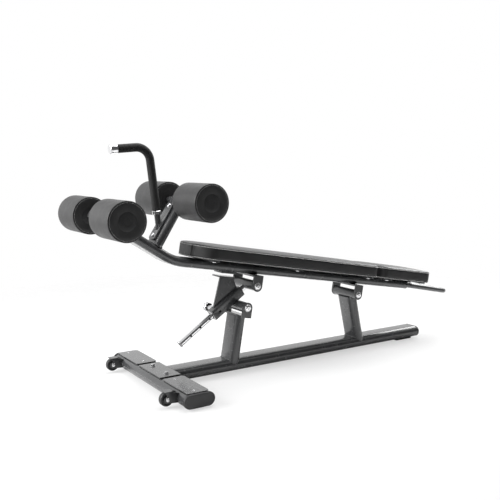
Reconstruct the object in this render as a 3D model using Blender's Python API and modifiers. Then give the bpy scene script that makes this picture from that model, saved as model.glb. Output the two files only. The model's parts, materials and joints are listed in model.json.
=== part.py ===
"""Abdominal bench: a hinged bench frame on a low base, set by a sliding tube and a pop pin.

X runs from the knee rollers to the lift handle, Y to the left side, Z up.
Upright sizes are measured from the middle of the front foot, which stands at x = 0 until the
whole bench is moved so that the middle of its length lies over the origin.
"""

import math

import bmesh
import bpy
from mathutils import Matrix

# General fits, in metres
GAP = 0.0003
RUN = 0.0003
PIN_NOSE_GAP = 0.0006
CUT_OVER = 0.004
ROUND_STEPS = 20
SMALL_STEPS = 12
CORNER_STEPS = 6
ROLLER_STEPS = 24

# Front foot
FOOT_WIDTH = 0.120
FOOT_HEIGHT = 0.0475
FOOT_CLEARANCE = 0.0075
FOOT_HALF_LENGTH = 0.316
FOOT_WALL = 0.003
FOOT_CAP_THICKNESS = 0.012
FOOT_CAP_RIM = 0.002
FOOT_CAP_ROUND = 0.003
FOOT_CAP_PLUG = 0.025
FOOT_PAD_LENGTH = 0.057
FOOT_PAD_WIDTH = 0.028
FOOT_PAD_INSET = 0.003

# Plates on the foot
PLATE_THICKNESS = 0.005
TREAD_WIDTH = 0.0884
TREAD_CORNER = 0.010
SADDLE_HALF = 0.0965
TREAD_SEAM = 0.0195
SADDLE_BOLT_Y = 0.060
SADDLE_BOLT_HEAD = 0.0100
SADDLE_BOLT_HEAD_HEIGHT = 0.0075
SADDLE_BOLT_SHANK = 0.0050
SADDLE_BOLT_LENGTH = 0.020

# Transport wheels
WHEEL_RADIUS = 0.0255
WHEEL_WIDTH = 0.020
WHEEL_HUB_BORE = 0.0045
WHEEL_CENTRE_X = -0.0950
WHEEL_CENTRE_Z = 0.0337
WHEEL_FROM_FOOT_END = 0.0648
WHEEL_CHEEK = 0.004
WHEEL_CHEEK_RADIUS = 0.0135
WHEEL_CHEEK_GAP = 0.0015
WHEEL_BRACKET_HEIGHT = 0.030
WHEEL_BRACKET_BACK = 0.005
WHEEL_PIN_HEAD = 0.0075
WHEEL_PIN_HEAD_HEIGHT = 0.003
WHEEL_PIN_RIM = 0.001
WHEEL_EDGE = 0.003

# Base rail
RAIL_WIDTH = 0.100
RAIL_HEIGHT = 0.050
RAIL_WALL = 0.0025
RAIL_END_X = 1.375
RAIL_CAP_THICKNESS = 0.014
RAIL_CAP_ROUND = 0.006
RAIL_CAP_PLUG = 0.022
REAR_PAD_LENGTH = 0.103
REAR_PAD_WIDTH = 0.040
REAR_PAD_INSET = 0.010

# Posts
POST_WIDTH = 0.100
POST_DEPTH = 0.050
POST_WALL = 0.0025
FRONT_POST_X = 0.3215
REAR_POST_X = 1.001
REAR_POST_LEAN = math.radians(11.8)
REAR_POST_COPE = 0.012

# Pivot hardware, the same at all three pivots
PIVOT_TUBE_RADIUS = 0.0215
PIVOT_TUBE_HALF = 0.0725
PIVOT_TUBE_WALL = 0.003
PIVOT_BUSH_LENGTH = 0.016
PIVOT_BOLT_RADIUS = 0.006
PIVOT_HEAD_RADIUS = 0.013
PIVOT_HEAD_HEIGHT = 0.0055
PIVOT_HEAD_RIM = 0.0017
EAR_SET_IN = 0.00001
EAR_GAP = 0.0005
EAR_THICKNESS = 0.008
EAR_RADIUS = 0.0225
EAR_BASE_THICKNESS = 0.008
STRUT_PIVOT_HEIGHT = 0.033

# Places of the pivots, from the foot's middle and the floor
TILT_PIVOT_X = 0.9535
TILT_PIVOT_Z = 0.2686
ADJUSTER_PIVOT_REACH = 0.5550
BENCH_SLOPE = math.radians(9.55)

# Adjusting sleeve and tube, along their axis from the adjuster pivot
SLEEVE_ANGLE = math.radians(34.0)
SLEEVE_SIZE = 0.043
SLEEVE_CORNER = 0.005
SLEEVE_TOP = 0.042
SLEEVE_BOTTOM = 0.205
SLEEVE_TO_STRUT_PIVOT = 0.0865
PIN_PLACE = 0.172
PIN_STEP = 0.052
PIN_STEPS = 3
ADJUSTING_TUBE_RADIUS = 0.0125
ADJUSTING_TUBE_WALL = 0.0025
ADJUSTING_TUBE_END = 0.380
SLEEVE_LINER_GAP = 0.0004
PIN_HOLE_RADIUS = 0.0046
PIN_HOLE_STEPS = 10

# Pop pin
PIN_RADIUS = 0.0040
PIN_BARREL_RADIUS = 0.011
PIN_BARREL_LENGTH = 0.048
PIN_BARREL_WALL = 0.003
PIN_KNOB_RADIUS = 0.020
PIN_KNOB_LENGTH = 0.024
PIN_KNOB_FACE = 0.016
PIN_KNOB_FRONT_EDGE = 0.004
PIN_KNOB_BACK_EDGE = 0.006
PIN_KNOB_DISH = 0.001
PIN_COLLAR_RADIUS = 0.0070
PIN_COLLAR_LENGTH = 0.003
SPRING_WIRE = 0.0008
SPRING_RADIUS = 0.0058
SPRING_TURNS = 5
SPRING_POINTS = 8

# Stop bracket on the sleeve and stop plate under the frame
STOP_WEB_THICKNESS = 0.008
STOP_FLANGE_HALF = 0.030
STOP_FLANGE_THICKNESS = 0.006
STOP_PLATE_THICKNESS = 0.008
STOP_PLATE_FROM_PIVOT = 0.1495
STOP_PLATE_LENGTH = 0.074
STOP_CLEARANCE = 0.012
STOP_WEB_FOOT_FRONT = 0.184
STOP_WEB_INSET = 0.020
STOP_WEB_FOOT_REAR = 0.050
STOP_FLANGE_OVERHANG = 0.006

# Bench frame tube
BENCH_TUBE_WIDTH = 0.095
BENCH_TUBE_HEIGHT = 0.038
BENCH_TUBE_WALL = 0.0025
BENCH_TUBE_DROP = 0.064
BENCH_TUBE_REAR = 0.3436
BEND_CORNER = -0.9240
BEND_RADIUS = 0.230
INCLINE_ANGLE = math.radians(23.0)
BEND_SEGMENTS = 6
LOWER_AXLE_PLACE = 0.3325
INCLINE_END_MARGIN = 0.026

# Lift handle at the rear
LIFT_TUBE_RADIUS = 0.0125
LIFT_LEG_Y = 0.0315
LIFT_LEG_DEPTH = 0.030
LIFT_DROOP = math.radians(2.0)
LIFT_END = 0.650
LIFT_BEND_RADIUS = 0.030

# Pads
PAD_WIDTH = 0.260
PAD_THICKNESS = 0.0550
PAD_BOARD = 0.012
PAD_CROWN = 0.008
PAD_EDGE = 0.008
PAD_DRAW_IN = 0.003
PAD_CORNER = 0.028
PAD_BOARD_INSET = 0.006
MAIN_PAD_FRONT = -0.8667
MAIN_PAD_REAR = 0.0625
HEAD_PAD_FRONT = 0.0880
HEAD_PAD_REAR = 0.4040
NOSE_WIDTH = 0.100
NOSE_LENGTH = 0.075
PAD_BRACKET_THICKNESS = 0.005
PAD_BRACKET_LENGTH = 0.240
PAD_BRACKET_WIDTH = 0.040
PAD_BRACKET_CORNER = 0.012
MAIN_PAD_BRACKETS = {"front": -0.7860, "middle": -0.3790, "rear": 0.0260}
HEAD_PAD_BRACKETS = {"front": 0.1430, "rear": 0.3640}

# Roller mast and rollers
MAST_WIDTH = 0.090
MAST_DEPTH = 0.035
MAST_WALL = 0.0025
MAST_COPE = 0.0114
MAST_PLACE = 0.0895
UPPER_AXLE_HEIGHT = 0.217
MAST_TOP_MARGIN = 0.027
AXLE_RADIUS = 0.0125
AXLE_WALL = 0.0020
ROLLER_RADIUS = 0.0702
ROLLER_INNER_Y = 0.0825
ROLLER_OUTER_Y = 0.2589
ROLLER_EDGE = 0.007
ROLLER_DISC_RADIUS = 0.033
ROLLER_DISC_DEPTH = 0.004
ROLLER_DISC_GROOVE = 0.002
ROLLER_DISH = 0.003

# Grab handle on the mast
HANDLE_PLATE_WIDTH = 0.050
HANDLE_PLATE_THICKNESS = 0.008
HANDLE_PLATE_FROM = 0.032
HANDLE_PLATE_TO = 0.193
HANDLE_PLATE_CORNER = 0.012
HANDLE_TUBE_RADIUS = 0.011
HANDLE_FOOT_HEIGHT = 0.0926
HANDLE_LEAN = math.radians(39.4)
HANDLE_STEM = 0.2965
HANDLE_TOP = 0.1537
HANDLE_BEND = math.radians(87.8)
HANDLE_BEND_RADIUS = 0.053
HANDLE_BEND_SEGMENTS = 7
COLLAR_PLACE = 0.042
COLLAR_LENGTH = 0.013
COLLAR_RADIUS = 0.0175
GRIP_RADIUS = 0.0158
GRIP_BORE_OVERRUN = 0.010
END_CAP_RADIUS = 0.018
END_CAP_LENGTH = 0.028
END_CAP_WALL = 0.002
END_CAP_EDGE = 0.003

# Worked out from the sizes above
FOOT_TOP = FOOT_CLEARANCE + FOOT_HEIGHT
FOOT_MIDDLE = FOOT_CLEARANCE + FOOT_HEIGHT / 2
PLATE_TOP = FOOT_TOP + GAP + PLATE_THICKNESS
WHEEL_Y = FOOT_HALF_LENGTH - WHEEL_FROM_FOOT_END
STOP_PLATE_FRONT = -ADJUSTER_PIVOT_REACH - STOP_PLATE_FROM_PIVOT
RAIL_MIDDLE = PLATE_TOP - RAIL_HEIGHT / 2
RAIL_BOTTOM = PLATE_TOP - RAIL_HEIGHT
RAIL_FRONT = TREAD_WIDTH / 2 + GAP
EAR_INNER = PIVOT_TUBE_HALF + EAR_GAP
EAR_OUTER = EAR_INNER + EAR_THICKNESS
BENCH_TUBE_BOTTOM = BENCH_TUBE_DROP - BENCH_TUBE_HEIGHT / 2
BENCH_TUBE_TOP = BENCH_TUBE_DROP + BENCH_TUBE_HEIGHT / 2
PAD_BRACKET_MIDDLE = BENCH_TUBE_TOP + GAP + PAD_BRACKET_THICKNESS / 2
BOARD_BOTTOM = BENCH_TUBE_TOP + GAP + PAD_BRACKET_THICKNESS + GAP
SLEEVE_OFFSET = PIVOT_TUBE_RADIUS + GAP + SLEEVE_SIZE / 2
ADJUSTER_PIVOT_X = TILT_PIVOT_X - ADJUSTER_PIVOT_REACH * math.cos(BENCH_SLOPE)
ADJUSTER_PIVOT_Z = TILT_PIVOT_Z + ADJUSTER_PIVOT_REACH * math.sin(BENCH_SLOPE)
STRUT_PIVOT_X = (ADJUSTER_PIVOT_X - SLEEVE_TO_STRUT_PIVOT * math.cos(SLEEVE_ANGLE)
                 + SLEEVE_OFFSET * math.sin(SLEEVE_ANGLE))
STRUT_PIVOT_Z = (ADJUSTER_PIVOT_Z - SLEEVE_TO_STRUT_PIVOT * math.sin(SLEEVE_ANGLE)
                 - SLEEVE_OFFSET * math.cos(SLEEVE_ANGLE))
FRONT_POST_LEAN = math.atan2(STRUT_PIVOT_X - FRONT_POST_X, STRUT_PIVOT_Z - PLATE_TOP)
BENCH_LEAN = BENCH_SLOPE + INCLINE_ANGLE
LIFT_REACH = LIFT_END - BENCH_TUBE_REAR - LIFT_TUBE_RADIUS
LIFT_HANDLE_X = (TILT_PIVOT_X + BENCH_TUBE_REAR * math.cos(BENCH_SLOPE)
                 + BENCH_TUBE_DROP * math.sin(BENCH_SLOPE)
                 + LIFT_REACH * math.cos(BENCH_SLOPE + LIFT_DROOP) + LIFT_TUBE_RADIUS)
CORNER_X = (TILT_PIVOT_X + BEND_CORNER * math.cos(BENCH_SLOPE)
            + BENCH_TUBE_DROP * math.sin(BENCH_SLOPE))
ROLLER_FRONT_X = CORNER_X - LOWER_AXLE_PLACE * math.cos(BENCH_LEAN) - ROLLER_RADIUS
MIDDLE_X = (LIFT_HANDLE_X + ROLLER_FRONT_X) / 2
HANDLE_TANGENT = HANDLE_BEND_RADIUS * math.tan(HANDLE_BEND / 2)
HANDLE_BEND_START = HANDLE_STEM - HANDLE_TANGENT
HANDLE_BEND_LENGTH = HANDLE_BEND_RADIUS * HANDLE_BEND
HANDLE_BEND_END = HANDLE_BEND_START + HANDLE_BEND_LENGTH
HANDLE_END = HANDLE_BEND_END + HANDLE_TOP - HANDLE_TANGENT
HANDLE_FACE = MAST_PLACE + MAST_DEPTH / 2 + GAP + HANDLE_PLATE_THICKNESS
GRIP_START = COLLAR_PLACE + COLLAR_LENGTH + GAP
GRIP_END = HANDLE_END - END_CAP_LENGTH - GAP

# Turns that lay a flat outline's third axis along X, Y or Z, its first axis crosswise
ALONG_X = (math.pi / 2, 0, math.pi / 2)
ALONG_Y = (math.pi / 2, 0, 0)
ALONG_Z = (0, 0, math.pi / 2)
SIDES = {"left": 1, "right": -1}


for old in list(bpy.data.objects):
    bpy.data.objects.remove(old)
parts = bpy.data.collections.new("abdominal_bench")
cutters = bpy.data.collections.new("cutters")
for collection in (parts, cutters):
    bpy.context.scene.collection.children.link(collection)


def material(name, colour, roughness, metallic=0.0):
    made = bpy.data.materials.new(name)
    made.use_nodes = True
    shader = made.node_tree.nodes["Principled BSDF"]
    shader.inputs["Base Color"].default_value = (*colour, 1.0)
    shader.inputs["Roughness"].default_value = roughness
    shader.inputs["Metallic"].default_value = metallic
    return made


POWDER_COAT = material("powder_coat", (0.055, 0.056, 0.058), 0.45, 0.2)
CHROME = material("chrome", (0.80, 0.80, 0.80), 0.12, 1.0)
ZINC = material("zinc_steel", (0.62, 0.62, 0.63), 0.30, 1.0)
LEATHER = material("black_leather", (0.020, 0.020, 0.021), 0.50)
ROLLER_SKIN = material("roller_skin", (0.050, 0.050, 0.052), 0.55)
FOAM = material("foam_grip", (0.022, 0.022, 0.023), 0.85)
RUBBER = material("rubber", (0.015, 0.015, 0.015), 0.80)
PLASTIC = material("black_plastic", (0.020, 0.020, 0.021), 0.50)
BOARD = material("board_cover", (0.018, 0.018, 0.018), 0.80)


def axis(name, parent, location, turn=0.0):
    """An empty that carries pieces, turned about the Y axis."""
    empty = bpy.data.objects.new(name, None)
    empty.empty_display_size = 0.03
    empty.location = location
    empty.rotation_euler = (0, turn, 0)
    empty.parent = parent
    parts.objects.link(empty)
    return empty


def put(obj, parent, location=(0, 0, 0), rotation=(0, 0, 0), finish=None):
    obj.location = location
    obj.rotation_euler = rotation
    obj.parent = parent
    if finish:
        obj.data.materials.append(finish)
    return obj


def link(name, data):
    obj = bpy.data.objects.new(name, data)
    parts.objects.link(obj)
    return obj


def from_bmesh(name, shape):
    mesh = bpy.data.meshes.new(name)
    shape.to_mesh(mesh)
    shape.free()
    return link(name, mesh)


def block(name, size):
    """A box around its own origin."""
    shape = bmesh.new()
    bmesh.ops.create_cube(shape, size=1.0)
    bmesh.ops.scale(shape, vec=size, verts=shape.verts)
    return from_bmesh(name, shape)


def rod(name, radius, length, steps=SMALL_STEPS):
    """A cylinder along its own Z axis, around its own origin."""
    shape = bmesh.new()
    bmesh.ops.create_cone(shape, cap_ends=True, segments=steps, radius1=radius,
                          radius2=radius, depth=length)
    return from_bmesh(name, shape)


def smooth(obj, degrees=35):
    obj.data.shade_smooth()
    obj.data.set_sharp_from_angle(angle=math.radians(degrees))
    return obj


def turned(name, profile, steps=ROUND_STEPS, closed=True):
    """A turned shape about its own Z axis. The profile's (radius, height) points run down
    the outer side; a closed one comes back up the bore."""
    mesh = bpy.data.meshes.new(name)
    count = len(profile)
    edges = [(i, (i + 1) % count) for i in range(count if closed else count - 1)]
    mesh.from_pydata([(radius, 0, height) for radius, height in profile], edges, [])
    obj = link(name, mesh)
    screw = obj.modifiers.new("turn", "SCREW")
    screw.steps = screw.render_steps = steps
    screw.use_merge_vertices = True
    screw.merge_threshold = 1e-6
    screw.use_smooth_shade = True
    return obj


def ring(name, outer, inner, length, steps=ROUND_STEPS):
    half = length / 2
    return turned(name, [(outer, half), (outer, -half), (inner, -half), (inner, half)], steps)


def flat(name, outlines, thickness, rounding=0.0):
    """A flat outline with any holes, around its own XY plane."""
    curve = bpy.data.curves.new(name, "CURVE")
    curve.dimensions = "2D"
    curve.fill_mode = "BOTH"
    curve.extrude = thickness / 2 - rounding
    curve.bevel_depth = rounding
    curve.bevel_resolution = 1
    curve.offset = -rounding
    for outline in outlines:
        spline = curve.splines.new("POLY")
        spline.points.add(len(outline) - 1)
        for point, (across, up) in zip(spline.points, outline):
            point.co = (across, up, 0, 1)
        spline.use_cyclic_u = True
    return link(name, curve)


def arc(middle, radius, start, end, steps):
    """Points on an arc, from one angle in degrees to another."""
    turn = [math.radians(start + (end - start) * i / steps) for i in range(steps + 1)]
    return [(middle[0] + radius * math.cos(a), middle[1] + radius * math.sin(a)) for a in turn]


def stadium(width, height, steps=CORNER_STEPS):
    """A flat oval, its width along the first axis."""
    radius = height / 2
    side = width / 2 - radius
    return (arc((side, 0), radius, -90, 90, steps) + arc((-side, 0), radius, 90, 270, steps))


def rounded_box(width, height, radius, steps=3):
    x, y = width / 2 - radius, height / 2 - radius
    corners = (((x, y), 0), ((-x, y), 90), ((-x, -y), 180), ((x, -y), 270))
    return [p for middle, start in corners
            for p in arc(middle, radius, start, start + 90, steps)]


def oval_tube(name, width, height, wall, length):
    """A flat-oval tube along its own Z axis."""
    bore = stadium(width - 2 * wall, height - 2 * wall)
    return flat(name, [stadium(width, height), bore], length)


def as_mesh(obj):
    """The evaluated shape of a curve as a mesh object of the same name and place."""
    bpy.context.view_layer.update()
    evaluated = obj.evaluated_get(bpy.context.evaluated_depsgraph_get())
    mesh = bpy.data.meshes.new_from_object(evaluated)
    shape = bmesh.new()
    shape.from_mesh(mesh)
    bmesh.ops.remove_doubles(shape, verts=shape.verts, dist=1e-6)
    bmesh.ops.recalc_face_normals(shape, faces=shape.faces)
    shape.to_mesh(mesh)
    shape.free()
    name, parent, place = obj.name, obj.parent, obj.matrix_world.copy()
    bpy.data.objects.remove(obj)
    made = link(name, mesh)
    made.parent = parent
    made.matrix_world = place
    return made


def combine(obj, other, operation):
    """Cuts or joins another solid, which stays in the scene as a helper."""
    if other.name in parts.objects:
        parts.objects.unlink(other)
        cutters.objects.link(other)
    other.hide_render = True
    other.display_type = "WIRE"
    boolean = obj.modifiers.new(other.name, "BOOLEAN")
    boolean.operation = operation
    boolean.object = other
    return obj


def clear_radius(radius, steps):
    """The corner radius of a polygon whose flats lie at this radius."""
    return radius / math.cos(math.pi / steps)


def round_hole(radius, steps):
    """The outline of a round hole, its flats no nearer than the radius."""
    return arc((0, 0), clear_radius(radius, steps), 0, 360 - 360 / steps, steps - 1)


def drill(obj, parent, location, rotation, radius, length, steps=SMALL_STEPS):
    """A round hole through a mesh object, its flats no nearer than the radius."""
    cutter = rod(f"{obj.name}_hole", clear_radius(radius, steps), length, steps)
    put(cutter, parent, location, rotation)
    return combine(obj, cutter, "DIFFERENCE")


def bevel(obj, width, segments=2, edges=None):
    """Rounded edges. Where edges is given, only those that run along that axis."""
    rounding = obj.modifiers.new("rounding", "BEVEL")
    rounding.width = width
    rounding.segments = segments
    if edges is not None:
        rounding.limit_method = "WEIGHT"
        weights = obj.data.attributes.new("bevel_weight_edge", "FLOAT", "EDGE")
        for edge in obj.data.edges:
            first, second = (obj.data.vertices[i].co for i in edge.vertices)
            along = (second - first).normalized()
            weights.data[edge.index].value = 1.0 if abs(along[edges]) > 0.99 else 0.0
    return obj


def path_tube(name, points, radius, sides=4):
    """A round tube along points, with filled ends."""
    curve = bpy.data.curves.new(name, "CURVE")
    curve.dimensions = "3D"
    curve.bevel_depth = radius
    curve.bevel_resolution = sides
    curve.use_fill_caps = True
    spline = curve.splines.new("POLY")
    spline.points.add(len(points) - 1)
    for point, co in zip(spline.points, points):
        point.co = (*co, 1)
    return link(name, curve)


# The carriers of the pieces
origin = axis("bench_origin", None, (-MIDDLE_X, 0, 0))
tilt_axis = axis("tilt_axis", origin, (TILT_PIVOT_X, 0, TILT_PIVOT_Z), BENCH_SLOPE)
incline = axis("front_incline", tilt_axis, (BEND_CORNER, 0, BENCH_TUBE_DROP), INCLINE_ANGLE)
strut_axis = axis("strut_axis", origin, (STRUT_PIVOT_X, 0, STRUT_PIVOT_Z), -SLEEVE_ANGLE)
adjuster_axis = axis("adjuster_axis", origin, (ADJUSTER_PIVOT_X, 0, ADJUSTER_PIVOT_Z),
                     -SLEEVE_ANGLE)
lift_axis = axis("lift_axis", tilt_axis, (BENCH_TUBE_REAR, 0, BENCH_TUBE_DROP), LIFT_DROOP)
front_post_axis = axis("front_post_axis", origin, (FRONT_POST_X, 0, PLATE_TOP),
                       FRONT_POST_LEAN)
rear_post_axis = axis("rear_post_axis", origin, (REAR_POST_X, 0, PLATE_TOP), -REAR_POST_LEAN)


# Front foot with its end caps and rubber pads
def front_foot():
    foot = oval_tube("front_foot", FOOT_WIDTH, FOOT_HEIGHT, FOOT_WALL, 2 * FOOT_HALF_LENGTH)
    put(foot, origin, (0, 0, FOOT_MIDDLE), ALONG_Y, POWDER_COAT)
    foot = as_mesh(foot)
    for y in (SADDLE_BOLT_Y, -SADDLE_BOLT_Y):
        drill(foot, origin, (0, y, FOOT_TOP), (0, 0, 0), SADDLE_BOLT_SHANK + GAP,
              2 * FOOT_WALL + CUT_OVER)
    return foot


def foot_end(side, sign):
    """A cap that covers the end of the foot tube and of the tread plate, and a rubber pad."""
    outer = FOOT_HALF_LENGTH + GAP + FOOT_CAP_THICKNESS / 2
    low = FOOT_CLEARANCE - FOOT_CAP_RIM
    cap = flat(f"foot_end_cap_{side}",
               [stadium(FOOT_WIDTH + 2 * FOOT_CAP_RIM, PLATE_TOP - low)],
               FOOT_CAP_THICKNESS, FOOT_CAP_ROUND)
    put(cap, origin, (0, sign * outer, (PLATE_TOP + low) / 2), ALONG_Y, PLASTIC)
    cap = as_mesh(cap)
    inset = 2 * (FOOT_WALL + GAP)
    plug = flat(f"foot_plug_{side}", [stadium(FOOT_WIDTH - inset, FOOT_HEIGHT - inset)],
                FOOT_CAP_PLUG + FOOT_CAP_THICKNESS / 2)
    reach = outer - (FOOT_CAP_PLUG + FOOT_CAP_THICKNESS / 2) / 2
    put(plug, origin, (0, sign * reach, FOOT_MIDDLE), ALONG_Y)
    combine(cap, as_mesh(plug), "UNION")
    height = FOOT_CLEARANCE - GAP
    pad = block(f"foot_pad_{side}", (FOOT_PAD_LENGTH, FOOT_PAD_WIDTH, height))
    place = FOOT_HALF_LENGTH - FOOT_PAD_INSET - FOOT_PAD_WIDTH / 2
    put(pad, origin, (0, sign * place, height / 2), (0, 0, 0), RUBBER)


def tread(side, sign):
    start = SADDLE_HALF + TREAD_SEAM
    length = FOOT_HALF_LENGTH - start
    plate = block(f"tread_plate_{side}", (TREAD_WIDTH, length, PLATE_THICKNESS))
    put(plate, origin, (0, sign * (start + length / 2), PLATE_TOP - PLATE_THICKNESS / 2),
        (0, 0, 0), POWDER_COAT)
    bevel(plate, TREAD_CORNER, 3, edges=2)


def saddle():
    plate = block("saddle_plate", (TREAD_WIDTH, 2 * SADDLE_HALF, PLATE_THICKNESS))
    put(plate, origin, (0, 0, PLATE_TOP - PLATE_THICKNESS / 2), (0, 0, 0), POWDER_COAT)
    for side, sign in SIDES.items():
        drill(plate, origin, (0, sign * SADDLE_BOLT_Y, PLATE_TOP), (0, 0, 0),
              SADDLE_BOLT_SHANK + GAP, 2 * PLATE_THICKNESS + CUT_OVER)
        bolt = rod(f"saddle_bolt_{side}", SADDLE_BOLT_HEAD, SADDLE_BOLT_HEAD_HEIGHT, 6)
        head = PLATE_TOP + GAP + SADDLE_BOLT_HEAD_HEIGHT / 2
        put(bolt, origin, (0, sign * SADDLE_BOLT_Y, head), (0, 0, 0), ZINC)
        shank = rod(f"saddle_shank_{side}", SADDLE_BOLT_SHANK, SADDLE_BOLT_LENGTH)
        put(shank, origin, (0, sign * SADDLE_BOLT_Y, head - SADDLE_BOLT_LENGTH / 2))
        combine(bolt, shank, "UNION")


front_foot()
saddle()
for side, sign in SIDES.items():
    foot_end(side, sign)
    tread(side, sign)


# Transport wheels in forks on the foot's front side
def transport_wheel(side, sign):
    hub = (WHEEL_CENTRE_X, sign * WHEEL_Y, WHEEL_CENTRE_Z)
    half = WHEEL_WIDTH / 2
    flank = WHEEL_RADIUS - WHEEL_EDGE
    bore = WHEEL_HUB_BORE + RUN
    wheel = turned(f"wheel_{side}", [
        (bore, half), (flank, half), (WHEEL_RADIUS, half - WHEEL_EDGE),
        (WHEEL_RADIUS, -half + WHEEL_EDGE), (flank, -half), (bore, -half)])
    put(wheel, origin, hub, ALONG_Y, PLASTIC)

    reach = -FOOT_WIDTH / 2 + FOOT_HEIGHT / 2 - WHEEL_CENTRE_X
    cheek_y = half + WHEEL_CHEEK_GAP + WHEEL_CHEEK / 2
    low = FOOT_MIDDLE - WHEEL_CENTRE_Z - WHEEL_BRACKET_HEIGHT / 2
    outline = (arc((0, 0), WHEEL_CHEEK_RADIUS, 90, 270, 8)
               + [(reach, low), (reach, low + WHEEL_BRACKET_HEIGHT)])
    bracket = None
    for name, place in (("inner", -cheek_y), ("outer", cheek_y)):
        cheek = flat(f"wheel_cheek_{name}_{side}", [outline], WHEEL_CHEEK)
        put(cheek, origin, (hub[0], hub[1] + sign * place, hub[2]), ALONG_Y)
        cheek = as_mesh(cheek)
        if bracket:
            combine(bracket, cheek, "UNION")
        else:
            bracket = cheek
            bracket.name = f"wheel_bracket_{side}"
            bracket.data.materials.append(POWDER_COAT)
    span = 2 * cheek_y + WHEEL_CHEEK
    front = hub[0] + WHEEL_RADIUS + WHEEL_CHEEK_GAP
    back_length = -FOOT_WIDTH / 2 + FOOT_HEIGHT / 2 - front
    back = block(f"wheel_bridge_{side}",
                 (back_length, span - WHEEL_CHEEK, WHEEL_BRACKET_HEIGHT - WHEEL_BRACKET_BACK))
    put(back, origin, (front + back_length / 2, hub[1], FOOT_MIDDLE))
    combine(bracket, back, "UNION")
    head, seat = span / 2 + WHEEL_PIN_RIM, span / 2 - WHEEL_PIN_RIM
    pin = turned(f"wheel_pin_{side}", [
        (0, span / 2 + WHEEL_PIN_HEAD_HEIGHT), (WHEEL_PIN_HEAD, head), (WHEEL_PIN_HEAD, seat),
        (WHEEL_HUB_BORE, seat), (WHEEL_HUB_BORE, -head), (0, -head)],
        SMALL_STEPS, closed=False)
    put(pin, origin, hub, (math.pi / 2 * sign * -1, 0, 0))
    combine(bracket, pin, "UNION")
    foot = flat(f"foot_shape_{side}", [stadium(FOOT_WIDTH + 2 * GAP, FOOT_HEIGHT + 2 * GAP)],
                span + CUT_OVER)
    put(foot, origin, (0, hub[1], FOOT_MIDDLE), ALONG_Y)
    combine(bracket, as_mesh(foot), "DIFFERENCE")


for side, sign in SIDES.items():
    transport_wheel(side, sign)


# Base rail with its end cap and rear rubber pad
def base_rail():
    rail = oval_tube("base_rail", RAIL_WIDTH, RAIL_HEIGHT, RAIL_WALL, RAIL_END_X)
    put(rail, origin, (RAIL_END_X / 2, 0, RAIL_MIDDLE), ALONG_X, POWDER_COAT)
    rail = as_mesh(rail)
    foot = flat("foot_shape_rail", [stadium(FOOT_WIDTH + 2 * GAP, FOOT_HEIGHT + 2 * GAP)],
                RAIL_WIDTH + CUT_OVER)
    put(foot, origin, (0, 0, FOOT_MIDDLE), ALONG_Y)
    combine(rail, as_mesh(foot), "DIFFERENCE")
    front = block("rail_front_cut", (2 * RAIL_FRONT, RAIL_WIDTH + CUT_OVER, 2 * RAIL_HEIGHT))
    put(front, origin, (0, 0, RAIL_MIDDLE))
    return combine(rail, front, "DIFFERENCE")


def rail_end():
    cap = flat("rail_end_cap", [stadium(RAIL_WIDTH, RAIL_HEIGHT)], RAIL_CAP_THICKNESS,
               RAIL_CAP_ROUND)
    middle = RAIL_END_X + GAP + RAIL_CAP_THICKNESS / 2
    put(cap, origin, (middle, 0, RAIL_MIDDLE), ALONG_X, PLASTIC)
    cap = as_mesh(cap)
    inset = 2 * (RAIL_WALL + GAP)
    length = RAIL_CAP_PLUG + RAIL_CAP_THICKNESS / 2
    plug = flat("rail_plug", [stadium(RAIL_WIDTH - inset, RAIL_HEIGHT - inset)], length)
    put(plug, origin, (middle - length / 2, 0, RAIL_MIDDLE), ALONG_X)
    combine(cap, as_mesh(plug), "UNION")
    height = RAIL_BOTTOM - GAP
    pad = block("rear_foot_pad", (REAR_PAD_LENGTH, REAR_PAD_WIDTH, height))
    put(pad, origin, (RAIL_END_X - REAR_PAD_INSET - REAR_PAD_LENGTH / 2, 0, height / 2),
        (0, 0, 0), RUBBER)


base_rail()
rail_end()


# Posts, which stand on the rail and carry the two lower pivots
def post(name, carrier, lean, top):
    """A leaning post from the rail's top up to a height along its own axis."""
    low = -POST_DEPTH / 2 * math.tan(abs(lean)) - CUT_OVER
    tube = oval_tube(name, POST_WIDTH, POST_DEPTH, POST_WALL, top - low)
    put(tube, carrier, (0, 0, (top + low) / 2), ALONG_Z, POWDER_COAT)
    tube = as_mesh(tube)
    floor = block(f"{name}_foot_cut", (4 * POST_DEPTH, 2 * POST_WIDTH, RAIL_HEIGHT))
    put(floor, origin, (carrier.location.x, 0, PLATE_TOP + GAP - RAIL_HEIGHT / 2))
    return combine(tube, floor, "DIFFERENCE")


def pivot_tube(name, parent, location, finish=POWDER_COAT):
    """A pivot tube with a bush pressed in each end, along Y."""
    half, bush = PIVOT_TUBE_HALF, PIVOT_TUBE_HALF - PIVOT_BUSH_LENGTH
    bore = PIVOT_BOLT_RADIUS + RUN
    inner = PIVOT_TUBE_RADIUS - PIVOT_TUBE_WALL
    tube = turned(name, [
        (PIVOT_TUBE_RADIUS, half), (PIVOT_TUBE_RADIUS, -half), (bore, -half), (bore, -bush),
        (inner, -bush), (inner, bush), (bore, bush), (bore, half)])
    return put(tube, parent, location, ALONG_Y, finish)


def button_head(seat):
    """The profile of a domed head, from its middle down to its rim at this height."""
    dome = [(0, seat + PIVOT_HEAD_HEIGHT)]
    for degrees in (60, 30, 0):
        turn = math.radians(degrees)
        rise = (PIVOT_HEAD_HEIGHT - PIVOT_HEAD_RIM) * math.sin(turn)
        dome.append((PIVOT_HEAD_RADIUS * math.cos(turn), seat + PIVOT_HEAD_RIM + rise))
    return dome + [(PIVOT_HEAD_RADIUS, seat)]


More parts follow.
